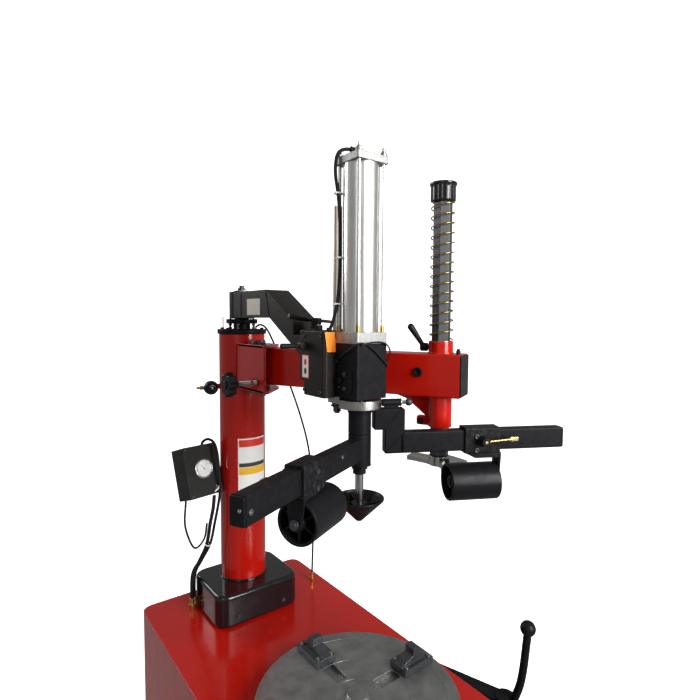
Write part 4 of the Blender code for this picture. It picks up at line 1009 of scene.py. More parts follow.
def swing_arm():
    width, end = BEAM_HALF, SHAFT_REACH + 0.057
    section = filleted(rectangle((-width, BEAM_LOW), (width, BEAM_HIGH)), 0.005, 5)
    gusset = filleted([(0.400, 1.345), (0.462, 1.326), (0.530, 1.272), (0.530, 1.345)], 0.006)
    flat = SHAFT_REACH, 0.0
    shapes = [
        prism(section, 0.022, end, "YZ", 0.0008),
        ring(1.3288, 1.4447, 0.0300, 0.0126, 0.0015, 56),
        ring(BEAM_HIGH - 0.004, 1.474, 0.0300, 0.0215, 0.0018, 72, flat),
        ring(1.262, BEAM_LOW + 0.004, 0.0290, 0.0245, 0.0015, 72, flat),
        prism(gusset, -0.005, 0.005, "XZ", 0.0010),
        box((SHAFT_REACH - 0.058, -0.011, 1.2625), (SHAFT_REACH - 0.024, 0.011, 1.2860), 0.005, 4),
    ]
    for z in (BEAM_HIGH + 0.0008, BEAM_LOW - 0.0008):
        bead = ring(z - 0.0022, z + 0.0022, 0.0325, 0.0290, 0.0018, 72, flat)
        shapes.append(bead)
    piece("swing_beam", "swing_arm", RED, shapes, ["swing_arm"], SWING)
    inset = 0.002
    low, high = BEAM_LOW + inset, BEAM_HIGH - inset
    cap = filleted(rectangle((-width + inset, low), (width - inset, high)), 0.005, 5)
    piece(
        "beam_end_plug",
        "swing_arm",
        PLASTIC,
        [prism(cap, end - 0.001, end + 0.0040, "YZ", 0.0016)],
        (),
        SWING,
    )
    fasteners = [socket_screw((0.5020, -width, 1.399), (0, -1, 0), 0.0120, 0.0050)]
    fasteners += bolt((SHAFT_REACH - 0.046, -0.011, 1.2740), (0, -1, 0), 0.0110, 0.005)
    fasteners += [
        rod((0.592, -0.004, BEAM_HIGH - 0.001), (0.592, -0.004, BEAM_HIGH + 0.008), 0.0056, 0.001, 24)
    ]
    fasteners += [
        rod((0.592, -0.004, BEAM_HIGH + 0.007), (0.592, -0.004, BEAM_HIGH + 0.0125), 0.0042, 0.001, 24)
    ]
    piece("beam_fasteners", "swing_arm", PLASTIC, fasteners, (), SWING)
    bushes = [ring(1.4735, 1.4752, 0.0285, 0.0215, 0.0004, 56, flat)]
    piece("guide_bush", "swing_arm", GOLD, bushes, (), SWING)


def hex_shaft():
    low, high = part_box("hex_shaft")
    bar = prism(filleted(hexagonal(SHAFT_ACROSS, pi / 6), 0.0012, 3), low.z, high.z - 0.010, edge=0.0012)
    piece("hexagonal_shaft", "hex_shaft", SHAFT_DARK, [bar], ["hex_shaft"], SHAFT)
    top, bottom = high.z, low_of_cap()
    profile = [
        (0, bottom), (0.0255, bottom), (0.0285, bottom + 0.004), (0.0290, top - 0.012), (0.0330, top - 0.005)
    ]
    profile += [
        (0.0330, top - 0.001), (0.0300, top), (0.0260, top - 0.001), (0.0240, top - 0.006), (0, top - 0.006)
    ]
    ribs = []
    for step in range(18):
        rib = box((0.0275, -0.0016, bottom + 0.003), (0.0306, 0.0016, top - 0.0075), 0.0010, 3)
        ribs.append(turned(rib, Matrix.Rotation(2 * pi * step / 18, 4, "Z")))
    cap = lathe(filleted(profile, 0.0015, 3, closed=False), 90)
    piece("shaft_cap", "hex_shaft", GLOSS, [cap, *ribs], (), SHAFT)


def low_of_cap():
    """The return spring ends just under the cap."""
    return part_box("return_spring")[1].z + 0.0008


def return_spring():
    low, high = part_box("return_spring")
    wire = 0.0016
    turns, per_turn = 14, 40
    low_z, high_z = low.z + wire, high.z - wire
    count = turns * per_turn
    coil = []
    for step in range(count + 1):
        angle = 2 * pi * step / per_turn
        height = low_z + (high_z - low_z) * step / count
        coil.append((0.0278 * cos(angle), 0.0278 * sin(angle), height))
    spring = piece(
        "fine_return_spring",
        "swing_arm",
        GOLD,
        [sweep(coil, wire, 10)],
        ["return_spring"],
        SHAFT,
    )
    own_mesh(spring)


def mount_head():
    """The mounting head: a boss, a curved steel plate, its turned-down finger and a bronze insert."""
    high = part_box("mount_head")[1]
    head_z = high.z - 0.0247
    boss = filleted(rectangle((0, head_z), (0.026, high.z - 0.0003)), 0.0025, 4, closed=False)

    def arc(radius, start, end, steps=24):
        angles = [radians(start + (end - start) * step / steps) for step in range(steps + 1)]
        return [(-0.232 + radius * cos(a), radius * sin(a)) for a in angles]

    plate = prism(
        filleted(arc(0.290, -9, 5) + arc(0.252, 10, 22) + arc(0.212, 22, -9), 0.004, 3),
        head_z,
        head_z + 0.011,
        edge=0.0028,
        segments=4,
    )
    root, tip = head_z + 0.006, head_z - 0.026
    finger = prism(
        filleted(
            [(-0.014, root), (0.006, root), (0.000, tip), (-0.008, tip)], 0.004
        ), -0.034, -0.016, "XZ", 0.0022, 3
    )
    piece(
        "mounting_head",
        "hex_shaft",
        STEEL,
        [lathe(boss, 64), plate, finger],
        ["mount_head"],
        SHAFT_LEVEL,
    )
    insert = prism(
        filleted(arc(0.2530, 11, 20) + arc(0.238, 20, 11), 0.003),
        head_z - 0.0006,
        head_z + 0.0118,
        edge=0.0010,
    )
    screw = socket_screw((0, -0.0258, head_z + 0.014), (0, -1, 0), 0.0055, 0.004)
    piece("head_insert", "hex_shaft", BRASS, [insert], (), SHAFT_LEVEL)
    piece("head_screw", "hex_shaft", DARK, [screw], (), SHAFT_LEVEL)


def shaft_lock_lever():
    joint = JOINTS["shaft_lock_turn"]
    place = turned_frame(joint["axis"], *joint["pos_m"])
    shapes = [
        rod((0.0, 0, 0), (0.0170, 0, 0), 0.0050, 0.0004, 24),
        rod((-0.010, 0, 0), (0.008, 0, 0), 0.0105, 0.0020, 40),
    ]
    tip = Vector((-0.030, -0.020, 0.050))
    shapes.append(rod((-0.003, 0, 0.002), tip, 0.0052, 0.0005, 32, tip=0.0084))
    shapes.append(ball(tip, 0.0084))
    piece(
        "shaft_clamp_lever", "shaft_lock_lever", PLASTIC, shapes, ["shaft_lock_lever"], place
    )


def stop_knob():
    x, y, z = JOINTS["stop_knob_turn"]["pos_m"]
    place = Matrix.Translation((x, y, z))
    lobes = []
    for step in range(128):
        angle = 2 * pi * step / 128
        radius = 0.0312 + 0.0028 * cos(8 * angle)
        lobes.append((radius * cos(angle), radius * sin(angle)))
    knob = [prism(lobes, -0.012, 0.010, "YZ", 0.0030, 4)]
    knob.append(rod((0.005, 0, 0), (0.022, 0, 0), 0.0130, 0.0020, 48))
    knob.append(rod((-0.0155, 0, 0), (-0.008, 0, 0), 0.0120, 0.0020, 48))
    piece("stop_knob_grip", "stop_knob", PLASTIC, knob, ["stop_knob"], place)
    pitch, thread = 0.0015, []
    profile = [(0, 0.018)]
    for step in range(62):
        at = 0.0185 + pitch * step
        profile += [(0.0054, at), (0.0061, at + pitch / 2)]
    profile += [(0.0054, 0.1118), (0, 0.1118)]
    thread.append(aimed(lathe(profile, 28), (0, 0, 0), (1, 0, 0)))
    thread.append(hexagon((0.060, 0, 0), (0.0665, 0, 0), 0.0170))
    piece("stop_knob_thread", "stop_knob", ZINC, thread, (), place)


# Gooseneck and press ----------------------------------------------------------------------------------


def gooseneck():
    low, high, slope = 1.530, 1.607, 0.5856

    def under(y, start, height):
        return height - (start - y) * slope

    outline = [
        (0.577, low),
        (0.350, low),
        (0.190, under(0.190, 0.350, low)),
        (0.190, 1.4870),
        (0.225, 1.4870),
        (0.225, under(0.225, 0.370, high)),
        (0.370, high),
        (0.577, high),
    ]
    body = prism(filleted(outline, 0.003, 3), -0.036, 0.036, "YZ", 0.0040, 4)
    hub = ring(1.5272, 1.6098, 0.0380, 0.0226, 0.0022, 80, (0, COLUMN_Y))
    elbow = ring(1.3927, 1.4873, 0.0400, 0.0166, 0.0022, 80, (0, ELBOW_Y))
    beads = [weld_bead((-0.0362, 0.523, low + 0.004), (-0.0362, 0.523, high - 0.004), 0.0017)]
    for side in (-1, 1):
        beads.append(
            weld_bead((side * 0.0362, 0.3500, low + 0.003), (side * 0.0362, 0.3700, high - 0.003), 0.0015)
        )
    piece(
        "gooseneck_tube",
        "gooseneck",
        BROWN,
        [body, hub, elbow, *beads],
        ["gooseneck_arm"],
    )
    plate = [(0.4838, 1.5378), (0.4838, 1.5842), (0.4030, 1.5832), (0.4030, 1.5376)]
    plate = prism(filleted(plate, 0.002), -0.0366, -0.0358, "YZ", 0.0002)
    piece("blank_plate", "gooseneck", PALE_PLATE, [plate])


def press_housing():
    x, front, back, pocket = 0.0725, 0.035, 0.127, PRESS_HALF + 0.0003
    right = [(pocket, pocket), (pocket, front), (x - 0.006, front), (x, front + 0.006), (x, back - 0.012)]
    right += [(x - 0.004, back - 0.004), (x - 0.012, back)]
    outline = right + [(-u, v) for u, v in reversed(right)]
    bottom, top = COVER_LOW, COVER_TOP
    cover = prism(filleted(outline, 0.004, 4), bottom, top, edge=0.0022, segments=3)
    shapes = [cover]
    for ear_low, ear_high in ((1.378, 1.3920), (1.4880, 1.500)):
        shapes.append(box((-0.036, 0.120, ear_low), (0.036, ELBOW_Y, ear_high), 0.0015))
        shapes.append(rod((0, ELBOW_Y, ear_low), (0, ELBOW_Y, ear_high), 0.040, 0.0018, 72))
    shapes.append(rod((0, ELBOW_Y, 1.385), (0, ELBOW_Y, 1.512), 0.0160, 0.0015, 48))
    for side in (-1, 1):
        cheek = filleted(
            [(0.100, top - 0.004), (0.100, top + 0.004), (0.128, top + 0.004), (0.150, top - 0.006)], 0.003
        )
        shapes.append(prism(cheek, side * 0.050 - 0.003, side * 0.050 + 0.003, "YZ", 0.0010))
    piece("press_cover", "press_head", BROWN, shapes, ["press_housing"])
    label = filleted(rectangle((0.0952, 1.3915), (0.1240, 1.4455)), 0.002)
    piece("lever_label_edge", "press_head", RED_LABEL, [prism(label, -0.0730, -0.0722, "YZ", 0.0)])
    label = filleted(rectangle((0.0974, 1.3937), (0.1218, 1.4433)), 0.0015)
    piece("lever_label", "press_head", WHITE_LABEL, [prism(label, -0.0732, -0.0726, "YZ", 0.0)])
    for name, surface, z in (
        ("lever_label_red_dot", RED_LABEL, 1.4285), ("lever_label_dark_dot", GREY_LABEL, 1.4080)
    ):
        dot = turned(rod((0, 0, 0), (-0.0004, 0, 0), 0.0065, 0.0001, 32), Matrix.Diagonal((1, 0.8, 1.15, 1)))
        piece(name, "press_head", surface, [moved(dot, (-0.0731, 0.1096, z))])
    screws = []
    for side in (-1, 1):
        for y in (0.050, 0.115):
            for z in (1.365, 1.488):
                screws.append(socket_screw((side * 0.0724, y, z), (side, 0, 0), 0.0040, 0.0025))
    piece("cover_screws", "press_head", DARK, screws)
    across, down = Vector((0.0265, 0, -0.0003)), Vector((0.0060, 0, -0.0440))
    corner = Vector((-0.0708, 0.0343, 1.4985))
    corners = [corner, corner + across, corner + across + down, corner + down]
    tag = prism(filleted([(c.x, c.z) for c in corners], 0.0012), 0.0338, 0.0346, "XZ", 0.0002)
    piece("blank_orange_tag", "press_head", ORANGE, [tag])


def press_block():
    """The block under the cylinder with its valve pocket, and the short cables on it."""
    half = PRESS_HALF
    outline = filleted(rectangle((-half, -half), (half, half)), 0.005, 5)
    piece(
        "valve_block",
        "press_head",
        BLACK,
        [prism(outline, BLOCK_LOW, BLOCK_HIGH, edge=0.0012)],
        ["press_block"],
    )
    x = -half
    hole = filleted(rectangle((-0.0210, 1.3720), (0.0300, 1.4140)), 0.003)
    rim = filleted(rectangle((-0.0250, 1.3680), (0.0340, 1.4180)), 0.004)
    frame_shape = framed(rim, hole, x - 0.0022, x + 0.001, "YZ")
    plate = prism(hole, x - 0.0006, x + 0.001, "YZ", 0.0)
    spool = rod((x, 0.0175, 1.394), (x - 0.0060, 0.0175, 1.394), 0.0085, 0.0012, 32)
    piece("valve_pocket", "press_head", PLASTIC, [frame_shape, plate, spool])
    bolts = bolt((x - 0.0006, -0.001, 1.4080), (-1, 0, 0), 0.0080, 0.0035) + bolt(
        (x - 0.0006, -0.001, 1.3770), (-1, 0, 0), 0.0080, 0.0035
    )
    bolts += bolt((x - 0.0006, 0.0175, 1.3790), (-1, 0, 0), 0.0060, 0.0020, washer=False)
    piece("valve_bolts", "press_head", DARK, bolts)

    first = [
        (x - 0.003, 0.0290, 1.4340),
        (x - 0.005, 0.0060, 1.4480),
        (x - 0.005, -0.0240, 1.4640),
        (x - 0.002, -0.0430, 1.4745),
        (-0.0300, -0.0465, 1.4765),
        (-0.0120, -0.0465, 1.4700),
        (0.0120, -0.0465, 1.4520),
        (0.0350, -0.0460, 1.4320),
        (0.0450, -0.0400, 1.4240),
        (0.0460, -0.0200, 1.4220),
    ]
    second = [
        (-0.0340, -0.0465, 1.4720),
        (-0.0100, -0.0480, 1.4770),
        (0.0150, -0.0480, 1.4780),
        (0.0350, -0.0470, 1.4730),
        (0.0470, -0.0450, 1.4600),
        (0.0500, -0.0400, 1.4450),
        (0.0480, -0.0300, 1.4320),
        (0.0450, -0.0150, 1.4260),
    ]
    shapes = [sweep(smooth_route(route, 0.004), 0.0018, 12) for route in (first, second)]
    for y in (-0.0200, -0.0150):
        shapes.append(rod((half, y, 1.4240), (half + 0.0075, y, 1.4240), 0.0050, 0.0008, 24))
    shapes.append(rod((x, 0.0290, 1.4340), (x - 0.0060, 0.0290, 1.4340), 0.0045, 0.0008, 24))
    piece("block_cables", "press_head", RUBBER, shapes)


def press_cylinder():
    half = PRESS_HALF
    low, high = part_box("press_base")
    outline = filleted(rectangle((-half, -half), (half, half)), 0.005, 5)
    piece(
        "cylinder_foot",
        "press_head",
        CAST,
        [prism(outline, low.z, high.z, edge=0.0012)],
        ["press_base"],
    )
    outer, inner = 0.0395, 0.0360
    profile = rectangle((inner, BARREL_LOW), (outer, BARREL_HIGH))
    barrel = lathe(filleted(profile, 0.0008, 2), 128, closed=True)
    piece("cylinder_barrel", "press_head", ALUMINIUM, [barrel], ["press_barrel"])
    cap_low, cap_high = BARREL_HIGH + 0.0003, PRESS_CAP_TOP
    cap = [prism(outline, cap_low, cap_high, edge=0.0014)]
    piece("cylinder_cap", "press_head", CAST, cap, ["press_top_cap"])
    rods, nuts, feet = [], [], []
    for x in (-TIE_OFFSET, TIE_OFFSET):
        for y in (-TIE_OFFSET, TIE_OFFSET):
            rods.append(rod((x, y, BARREL_LOW), (x, y, 1.8915), 0.0040, 0.0006, 28))
            feet.append(rod((x, y, BARREL_LOW), (x, y, BARREL_LOW + 0.014), 0.0046, 0.0006, 28))
            nuts.append(hexagon((x, y, cap_high + 0.0012), (x, y, cap_high + 0.0082), 0.0130))
            nuts.append(rod((x, y, cap_high - 0.0004), (x, y, cap_high + 0.0020), 0.0088, 0.0006, 32))
            nuts.append(
                rod((x, y, cap_high + 0.0080), (x, y, cap_high + 0.0100), 0.0055, 0.0006, 28, tip=0.0045)
            )
    piece("tie_rods", "press_head", STEEL, rods)
    piece("tie_rod_nuts", "press_head", ZINC, nuts)
    piece("tie_rod_feet", "press_head", GOLD, feet)
    fitting = [hexagon((-0.006, 0.004, cap_high - 0.0005), (-0.006, 0.004, cap_high + 0.0070), 0.0150)]
    piece("cap_fitting_hex", "press_head", BLUE_STEEL, fitting)
    elbow = [rod((-0.006, 0.004, cap_high + 0.0065), (-0.006, 0.004, 1.8935), 0.0062, 0.0015, 32)]
    elbow.append(rod((-0.004, 0.002, 1.8885), (-0.0180, 0.0115, 1.8900), 0.0058, 0.0010, 32))
    elbow.append(rod((-0.0170, 0.0110, 1.8900), (-0.0210, 0.0128, 1.8900), 0.0070, 0.0008, 32))
    piece("cap_fitting_elbow", "press_head", PLASTIC, elbow)
    guide = ring(1.5003, 1.785, 0.0105, 0.0090, 0.0005, 56, (0, GUIDE_Y))
    piece("guide_rod_tube", "press_head", WARM_ALUMINIUM, [guide], ["guide_tube"])
    hose = sweep(smooth_route(PRESS_HOSE, 0.005), 0.0038, 18)
    end = PRESS_HOSE[-1]
    boot = rod((end[0], end[1], 1.4995), (end[0], end[1], 1.5080), 0.0062, 0.0012, 28)
    piece("press_air_hose", "press_head", RUBBER, [hose, boot], ["press_hose"])
    ties = []
    for hose_x, hose_y, z in (PRESS_HOSE[5], PRESS_HOSE[7], PRESS_HOSE[9]):
        outline = [(hose_x - 0.0055, hose_y - 0.0055), (-TIE_OFFSET + 0.0055, hose_y - 0.0055)]
        outline += [(-TIE_OFFSET + 0.0055, TIE_OFFSET + 0.0055), (hose_x - 0.0055, TIE_OFFSET + 0.0055)]
        middle = Vector((sum(u for u, _ in outline) / 4, sum(v for _, v in outline) / 4))
        hole = [tuple(middle + (Vector(corner) - middle) * 0.86) for corner in outline]
        ties.append(framed(filleted(outline, 0.004), filleted(hole, 0.0035), z - 0.0014, z + 0.0014))
        buckle_low = (hose_x - 0.0072, hose_y - 0.003, z - 0.0024)
        buckle_high = (hose_x - 0.0040, hose_y + 0.003, z + 0.0024)
        ties.append(box(buckle_low, buckle_high, 0.0006))
    piece("hose_ties", "press_head", WHITE_TIE, ties)


def control_levers():
    place = Matrix.Translation(JOINTS["valve_lever_tilt"]["pos_m"])
    shapes = [
        rod((0, -0.0085, 0), (0, 0.0085, 0), 0.0105, 0.0025, 40),
        rod((-0.006, 0, 0), (-0.034, 0, 0.0003), 0.0045, 0.0005, 28),
        rod((-0.020, 0, 0.0002), (-0.056, 0, 0.0004), 0.0056, 0.0020, 36, tip=0.0064),
    ]
    piece("valve_handle", "valve_lever", PLASTIC, shapes, ["valve_lever"], place)
    x, y, _ = JOINTS["elbow_lever_turn"]["pos_m"]
    route = [
        (-0.030, 0.002, 1.5250), (0.010, -0.006, 1.5225), (0.036, -0.0105, 1.5200), (0.046, -0.0120, 1.5160)
    ]
    shapes = [
        rod((0, 0, 1.5125), (0, 0, 1.5300), 0.0130, 0.0020, 48),
        sweep(smooth_route(route, 0.004), 0.0040, 20),
        rod((-0.024, 0.001, 1.5245), (-0.076, 0.004, 1.5340), 0.0048, 0.0018, 32, tip=0.0066),
    ]
    piece(
        "elbow_clamp_bar",
        "elbow_lever",
        PLASTIC,
        shapes,
        ["elbow_lever"],
        Matrix.Translation((x, y, 0)),
    )


# Press ram and roller arms -------------------------------------------------------------------------------


def press_ram():
    piece("piston_fine", "press_ram", STEEL, [refined("piston_rod", 0.0008)], ["piston_rod"])
    low, high = RAM_PLATE_LOW, RAM_PLATE_HIGH
    front = [(0.048 * cos(a), 0.048 * sin(a)) for a in [pi + pi * step / 36 for step in range(37)]]
    side = [(0.048, 0.014), (0.017, 0.050), (0.017, 0.100)]
    outline = [*front, *filleted([front[-1], *side], 0.010, 5, closed=False)[1:]]
    outline += [(-u, v) for u, v in reversed(filleted([front[-1], *side], 0.010, 5, closed=False)[1:])]
    plate = prism(outline, low, high, edge=0.0010)
    axis, notch_z = JOINTS["index_plunger_pull"]["axis"], PLUNGER_Z
    right_turn = atan2(axis[1], axis[0])
    for angle in (right_turn, right_turn - radians(35)):
        notch = rod((0.0410, 0, notch_z), (0.0600, 0, notch_z), 0.0050, 0.0, 28)
        plate = carved(plate, turned(notch, Matrix.Rotation(angle, 4, "Z")))
    piece("notched_plate", "press_ram", ZINC, [plate], ["ram_plate"])
    sleeve = [
        (0.0099, 1.184),
        (0.0147, 1.184),
        (0.0147, 1.194),
        (0.0166, 1.196),
        (0.0166, low + 0.003),
        (0.0099, low + 0.003),
    ]
    shapes = [lathe(filleted(sleeve, 0.0008, 2), 64, closed=True)]
    shapes.append(ring(1.1950, 1.2030, 0.0196, 0.0166, 0.0010, 6))
    piece("spindle", "press_ram", BLACK, shapes)
    rods = [rod((0, GUIDE_Y, low + 0.004), (0, GUIDE_Y, 1.760), 0.0080, 0.0010, 36)]
    piece("guide_rod", "press_ram", STEEL, rods)
    nuts = [
        rod((0, GUIDE_Y, 1.3225), (0, GUIDE_Y, 1.3262), 0.0145, 0.0006, 40),
        hexagon((0, GUIDE_Y, 1.3100), (0, GUIDE_Y, 1.3225), 0.0175),
        rod((0, GUIDE_Y, 1.3262), (0, GUIDE_Y, 1.3320), 0.0120, 0.0006, 40),
    ]
    piece("guide_rod_nut", "press_ram", DARK, nuts)
    tip = [rod((0, GUIDE_Y, 1.3062), (0, GUIDE_Y, 1.3130), 0.0062, 0.0010, 28)]
    piece("guide_rod_tip", "press_ram", ZINC, tip)


def tube_section(mid, grow=0.0):
    wide, tall = ARM_WIDTH + grow, ARM_HEIGHT + grow
    return filleted(rectangle((-wide, mid - tall), (wide, mid + tall)), 0.004, 5)


def end_plug(mid, end):
    return prism(tube_section(mid, -0.0008), end - 0.0005, end + 0.0045, "YZ", 0.0018, 4)


def right_arm():
    mid, end = RIGHT_MID, RIGHT_END
    low = mid - ARM_HEIGHT
    stub_low, top, drop_in, drop_out = 1.2825, 1.3295, 0.0545, 0.1005
    drop = [
        (drop_in, stub_low), (drop_in, low), (drop_out, low), (drop_out, top), (0.030, top), (0.030, stub_low)
    ]
    crank = prism(filleted(drop, 0.004, 4), -ARM_WIDTH, ARM_WIDTH, "XZ", 0.0030, 4)
    shapes = [crank, prism(tube_section(mid), drop_out - 0.010, end, "YZ", 0.0006)]
    shapes.append(ring(1.2745, 1.3308, HUB_RADIUS, HUB_BORE, 0.0015, 72))
    shapes.append(ring(1.3210, 1.3312, 0.0272, HUB_BORE, 0.0012, 72))
    for y in (-ARM_WIDTH - 0.0002, ARM_WIDTH + 0.0002):
        shapes.append(weld_bead((0.0924, y, 1.3280), (0.0550, y, 1.2835), 0.0016))
        shapes.append(weld_bead((0.0995, y, 1.2770), (0.0582, y, 1.2321), 0.0016))
    barrel = [(0, 0.0505), (0.0085, 0.0505), (0.0085, 0.0905), (0.0078, 0.0920), (0, 0.0920)]
    barrel = aimed(lathe(filleted(barrel, 0.0006, 2, closed=False), 48), (0, 0, 0), (1, 0, 0))
    shapes.append(moved(barrel, (0, 0, PLUNGER_Z)))
    shapes.append(box((0.056, -0.006, 1.326), (0.087, 0.006, 1.340), 0.0015))
    piece("right_cranked_arm", "right_arm", BLACK, shapes, ["right_arm"], RIGHT)
    piece("right_end_plug", "right_arm", PLASTIC, [end_plug(mid, end)], (), RIGHT)
    collar = moved(
        aimed(ring(0, 0.0022, 0.0090, 0.0042, 0.0004, 40), (0.0920, 0, 0), (1, 0, 0)), (0, 0, PLUNGER_Z)
    )
    piece("plunger_ring", "right_arm", ZINC, [collar], (), RIGHT)
    shapes = [
        rod((0.0490, 0, PLUNGER_Z), (0.1060, 0, PLUNGER_Z), 0.0040, 0.0006, 28),
        ball((0.1120, 0, PLUNGER_Z), 0.0085),
    ]
    piece("plunger_pin", "index_plunger", DARK, shapes, ["index_plunger"], RIGHT)
    roller_set("right", RIGHT, mid, RIGHT_ROLLER_END, 0.241, 0.3245, 0.0115)


def left_arm():
    mid, end = LEFT_MID, LEFT_END
    shapes = [
        prism(tube_section(mid), 0.014, end, "YZ", 0.0006),
        ring(1.2042, 1.2736, HUB_RADIUS, HUB_BORE, 0.0015, 72),
    ]
    shapes.append(weld_bead((0.024, ARM_WIDTH, mid - 0.018), (0.024, ARM_WIDTH, mid + 0.018), 0.0018))
    piece("left_straight_arm", "left_arm", BLACK, shapes, ["left_arm"], LEFT)
    piece("left_end_plug", "left_arm", PLASTIC, [end_plug(mid, end)], (), LEFT)
    screws = [socket_screw((0.4100, ARM_WIDTH, 1.2400), (0, 1, 0), 0.0050, 0.0032)]
    screws.append(socket_screw((0.1150, ARM_WIDTH, 1.2500), (0, 1, 0), 0.0045, 0.0030))
    screws.append(socket_screw((end + 0.0044, 0.0060, 1.2440), (1, 0, 0), 0.0032, 0.0014))
    piece("left_arm_screws", "left_arm", ZINC, screws, (), LEFT)
    roller_set("left", LEFT, mid, LEFT_ROLLER_END, 0.195, 0.267, 0.0050)


def roller_set(side, place, mid, roller_end, start, end, shelf_depth):
    """The sleeve with its hanger, the clamp knob with its bar, and the hollow roller."""
    roller_z = JOINTS[f"{side}_roller_spin"]["pos_m"][2]
    outer, under = ARM_WIDTH + SLEEVE_WALL, mid - ARM_HEIGHT - SLEEVE_WALL
    hanger_start, hanger_end = roller_end + 0.0010, roller_end + 0.0070
    hanger = [
        (-0.0195, under + 0.001),
        (-0.0190, under - 0.010),
        (-0.0125, roller_z - 0.004),
        (-0.008, roller_z - 0.0135),
    ]
    hanger += [(-u, v) for u, v in reversed(hanger)]
    axle_start, bottom = roller_end - ROLLER_LENGTH + 0.004, under - shelf_depth
    shelf = [(start + 0.002, under + 0.001), (start + 0.002, under), (start + 0.025, bottom)]
    shelf += [(hanger_end, bottom), (hanger_end, under + 0.001)]
    shapes = [
        framed(tube_section(mid, SLEEVE_WALL), tube_section(mid, 0.0005), start, end, "YZ"),
        prism(shelf, -0.018, 0.018, "XZ", 0.0008),
        prism(filleted(hanger, 0.006), hanger_start, hanger_end, "YZ", 0.0014),
        rod((axle_start, 0, roller_z), (hanger_end + 0.002, 0, roller_z), 0.0080, 0.0010, 36),
    ]
    piece(f"{side}_sleeve_fine", f"{side}_sleeve", BLACK, shapes, [f"{side}_sleeve"], place)
    screws = bolt((hanger_end + 0.0015, 0, roller_z), (1, 0, 0), 0.0130, 0.0045)
    for height in (0.009, -0.022):
        screws.append(socket_screw((start + 0.026, -outer, mid + height), (0, -1, 0), 0.0055, 0.0030))
        screws.append(socket_screw((start + 0.026, outer, mid + height), (0, 1, 0), 0.0055, 0.0030))
    piece(f"{side}_sleeve_screws", f"{side}_sleeve", DARK, screws, (), place)

    x, y, z = JOINTS[f"{side}_knob_turn"]["pos_m"]
    knob_place = Matrix.Translation((x, y, z)) @ place.to_3x3().to_4x4()
    grip = [(0, 0.0), (0.0120, 0.0), (0.0120, 0.0100), (0.0100, 0.0120), (0.0100, 0.0220), (0, 0.0220)]
    shapes = [aimed(lathe(filleted(grip, 0.0012, 3, closed=False), 48), (0, 0, 0), (0, -1, 0))]
    piece(f"{side}_knob_grip", f"{side}_knob", PLASTIC, shapes, [f"{side}_knob"], knob_place)
    tip = Vector(BAR_TIP)
    bar = [rod((0, -0.0140, 0), tip - Vector((0.012, 0, 0)), 0.0026, 0.0005, 24)]
    bar.append(box(tip - Vector((0.020, 0.0018, 0.0048)), tip + Vector((0, 0.0018, 0.0048)), 0.0014, 3))
    bar.append(rod((0, -0.0205, 0), (0, -0.0228, 0), 0.0035, 0.0006, 24))
    piece(f"{side}_knob_bar", f"{side}_knob", BRASS, bar, (), knob_place)

    body = f"{side}_roller"
    centre = (roller_end - ROLLER_LENGTH / 2, 0, roller_z)
    half, wall, hub, bore = ROLLER_LENGTH / 2, ROLLER_RADIUS - 0.006, 0.0145, 0.0085
    profile = [(bore, 0.006 - half), (hub, 0.006 - half), (hub, -0.004), (wall, -0.004), (wall, -half)]
    profile += [
        (ROLLER_RADIUS, -half), (ROLLER_RADIUS, half), (wall, half), (wall, 0.004), (hub, 0.004), (hub, half)
    ]
    profile.append((bore, half))
    roller = [lathe(filleted(profile, 0.0022, 4), 96, closed=True)]
    for step in range(6):
        turn = Matrix.Rotation(pi / 3 * step, 4, "Z")
        for low, high in ((0.003, half - 0.006), (0.012 - half, -0.003)):
            rib = box((hub - 0.001, -0.0016, low), (wall + 0.001, 0.0016, high), 0.0005, 2)
            roller.append(turned(rib, turn))
    aim = Matrix.Translation(centre) @ Matrix.Rotation(pi / 2, 4, "Y")
    piece(f"{body}_fine", body, PLASTIC, roller, [body], place @ aim)


def centring_cone():
    low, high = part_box("cone")
    rim = high.z
    piece(
        "cone_stem",
        "cone_rod",
        STEEL,
        [rod((0, 0, 1.0900), (0, 0, 1.3250), 0.0095, 0.0010, 48)],
        ["cone_rod"],
    )
    profile = [
        (0, low.z),
        (0.0065, low.z),
        (0.0560, rim - 0.004),
        (0.0560, rim),
        (0.0525, rim),
        (0.0500, rim - 0.005),
    ]
    profile += [(0.0180, 1.0990), (0.0180, 1.1180), (0.0101, 1.1180), (0.0101, 1.0895), (0, 1.0895)]
    cone = [lathe(filleted(profile, 0.0015, 3, closed=False), 112)]
    for step in range(6):
        rib = [
            (0.0170, 1.0960),
            (0.0170, 1.1175),
            (0.0300, 1.1185),
            (0.0500, 1.1235),
            (0.0515, 1.1215),
            (0.0480, 1.1160),
        ]
        shape = prism(filleted(rib, 0.001, 2), -0.0014, 0.0014, "XZ", 0.0004)
        cone.append(turned(shape, Matrix.Rotation(pi / 3 * step + 0.3, 4, "Z")))
    piece("ribbed_cone", "cone", PLASTIC, cone, ["cone"])
    z = JOINTS["thumb_screw_turn"]["pos_m"][2]
    shapes = [rod((0.0170, 0, z), (0.0240, 0, z), 0.0025, 0.0003, 20)]
    shapes.append(rod((0.0235, 0, z), (0.0310, 0, z), 0.0042, 0.0008, 28))
    for step in range(10):
        grip = box((0.0243, -0.0005, 0.0038), (0.0302, 0.0005, 0.0047), 0.0002, 2)
        shapes.append(moved(turned(grip, Matrix.Rotation(2 * pi * step / 10, 4, "X")), (0, 0, z)))
    piece("thumb_screw_fine", "thumb_screw", DARK, shapes, ["thumb_screw"])


# Stage -------------------------------------------------------------------------------------------------


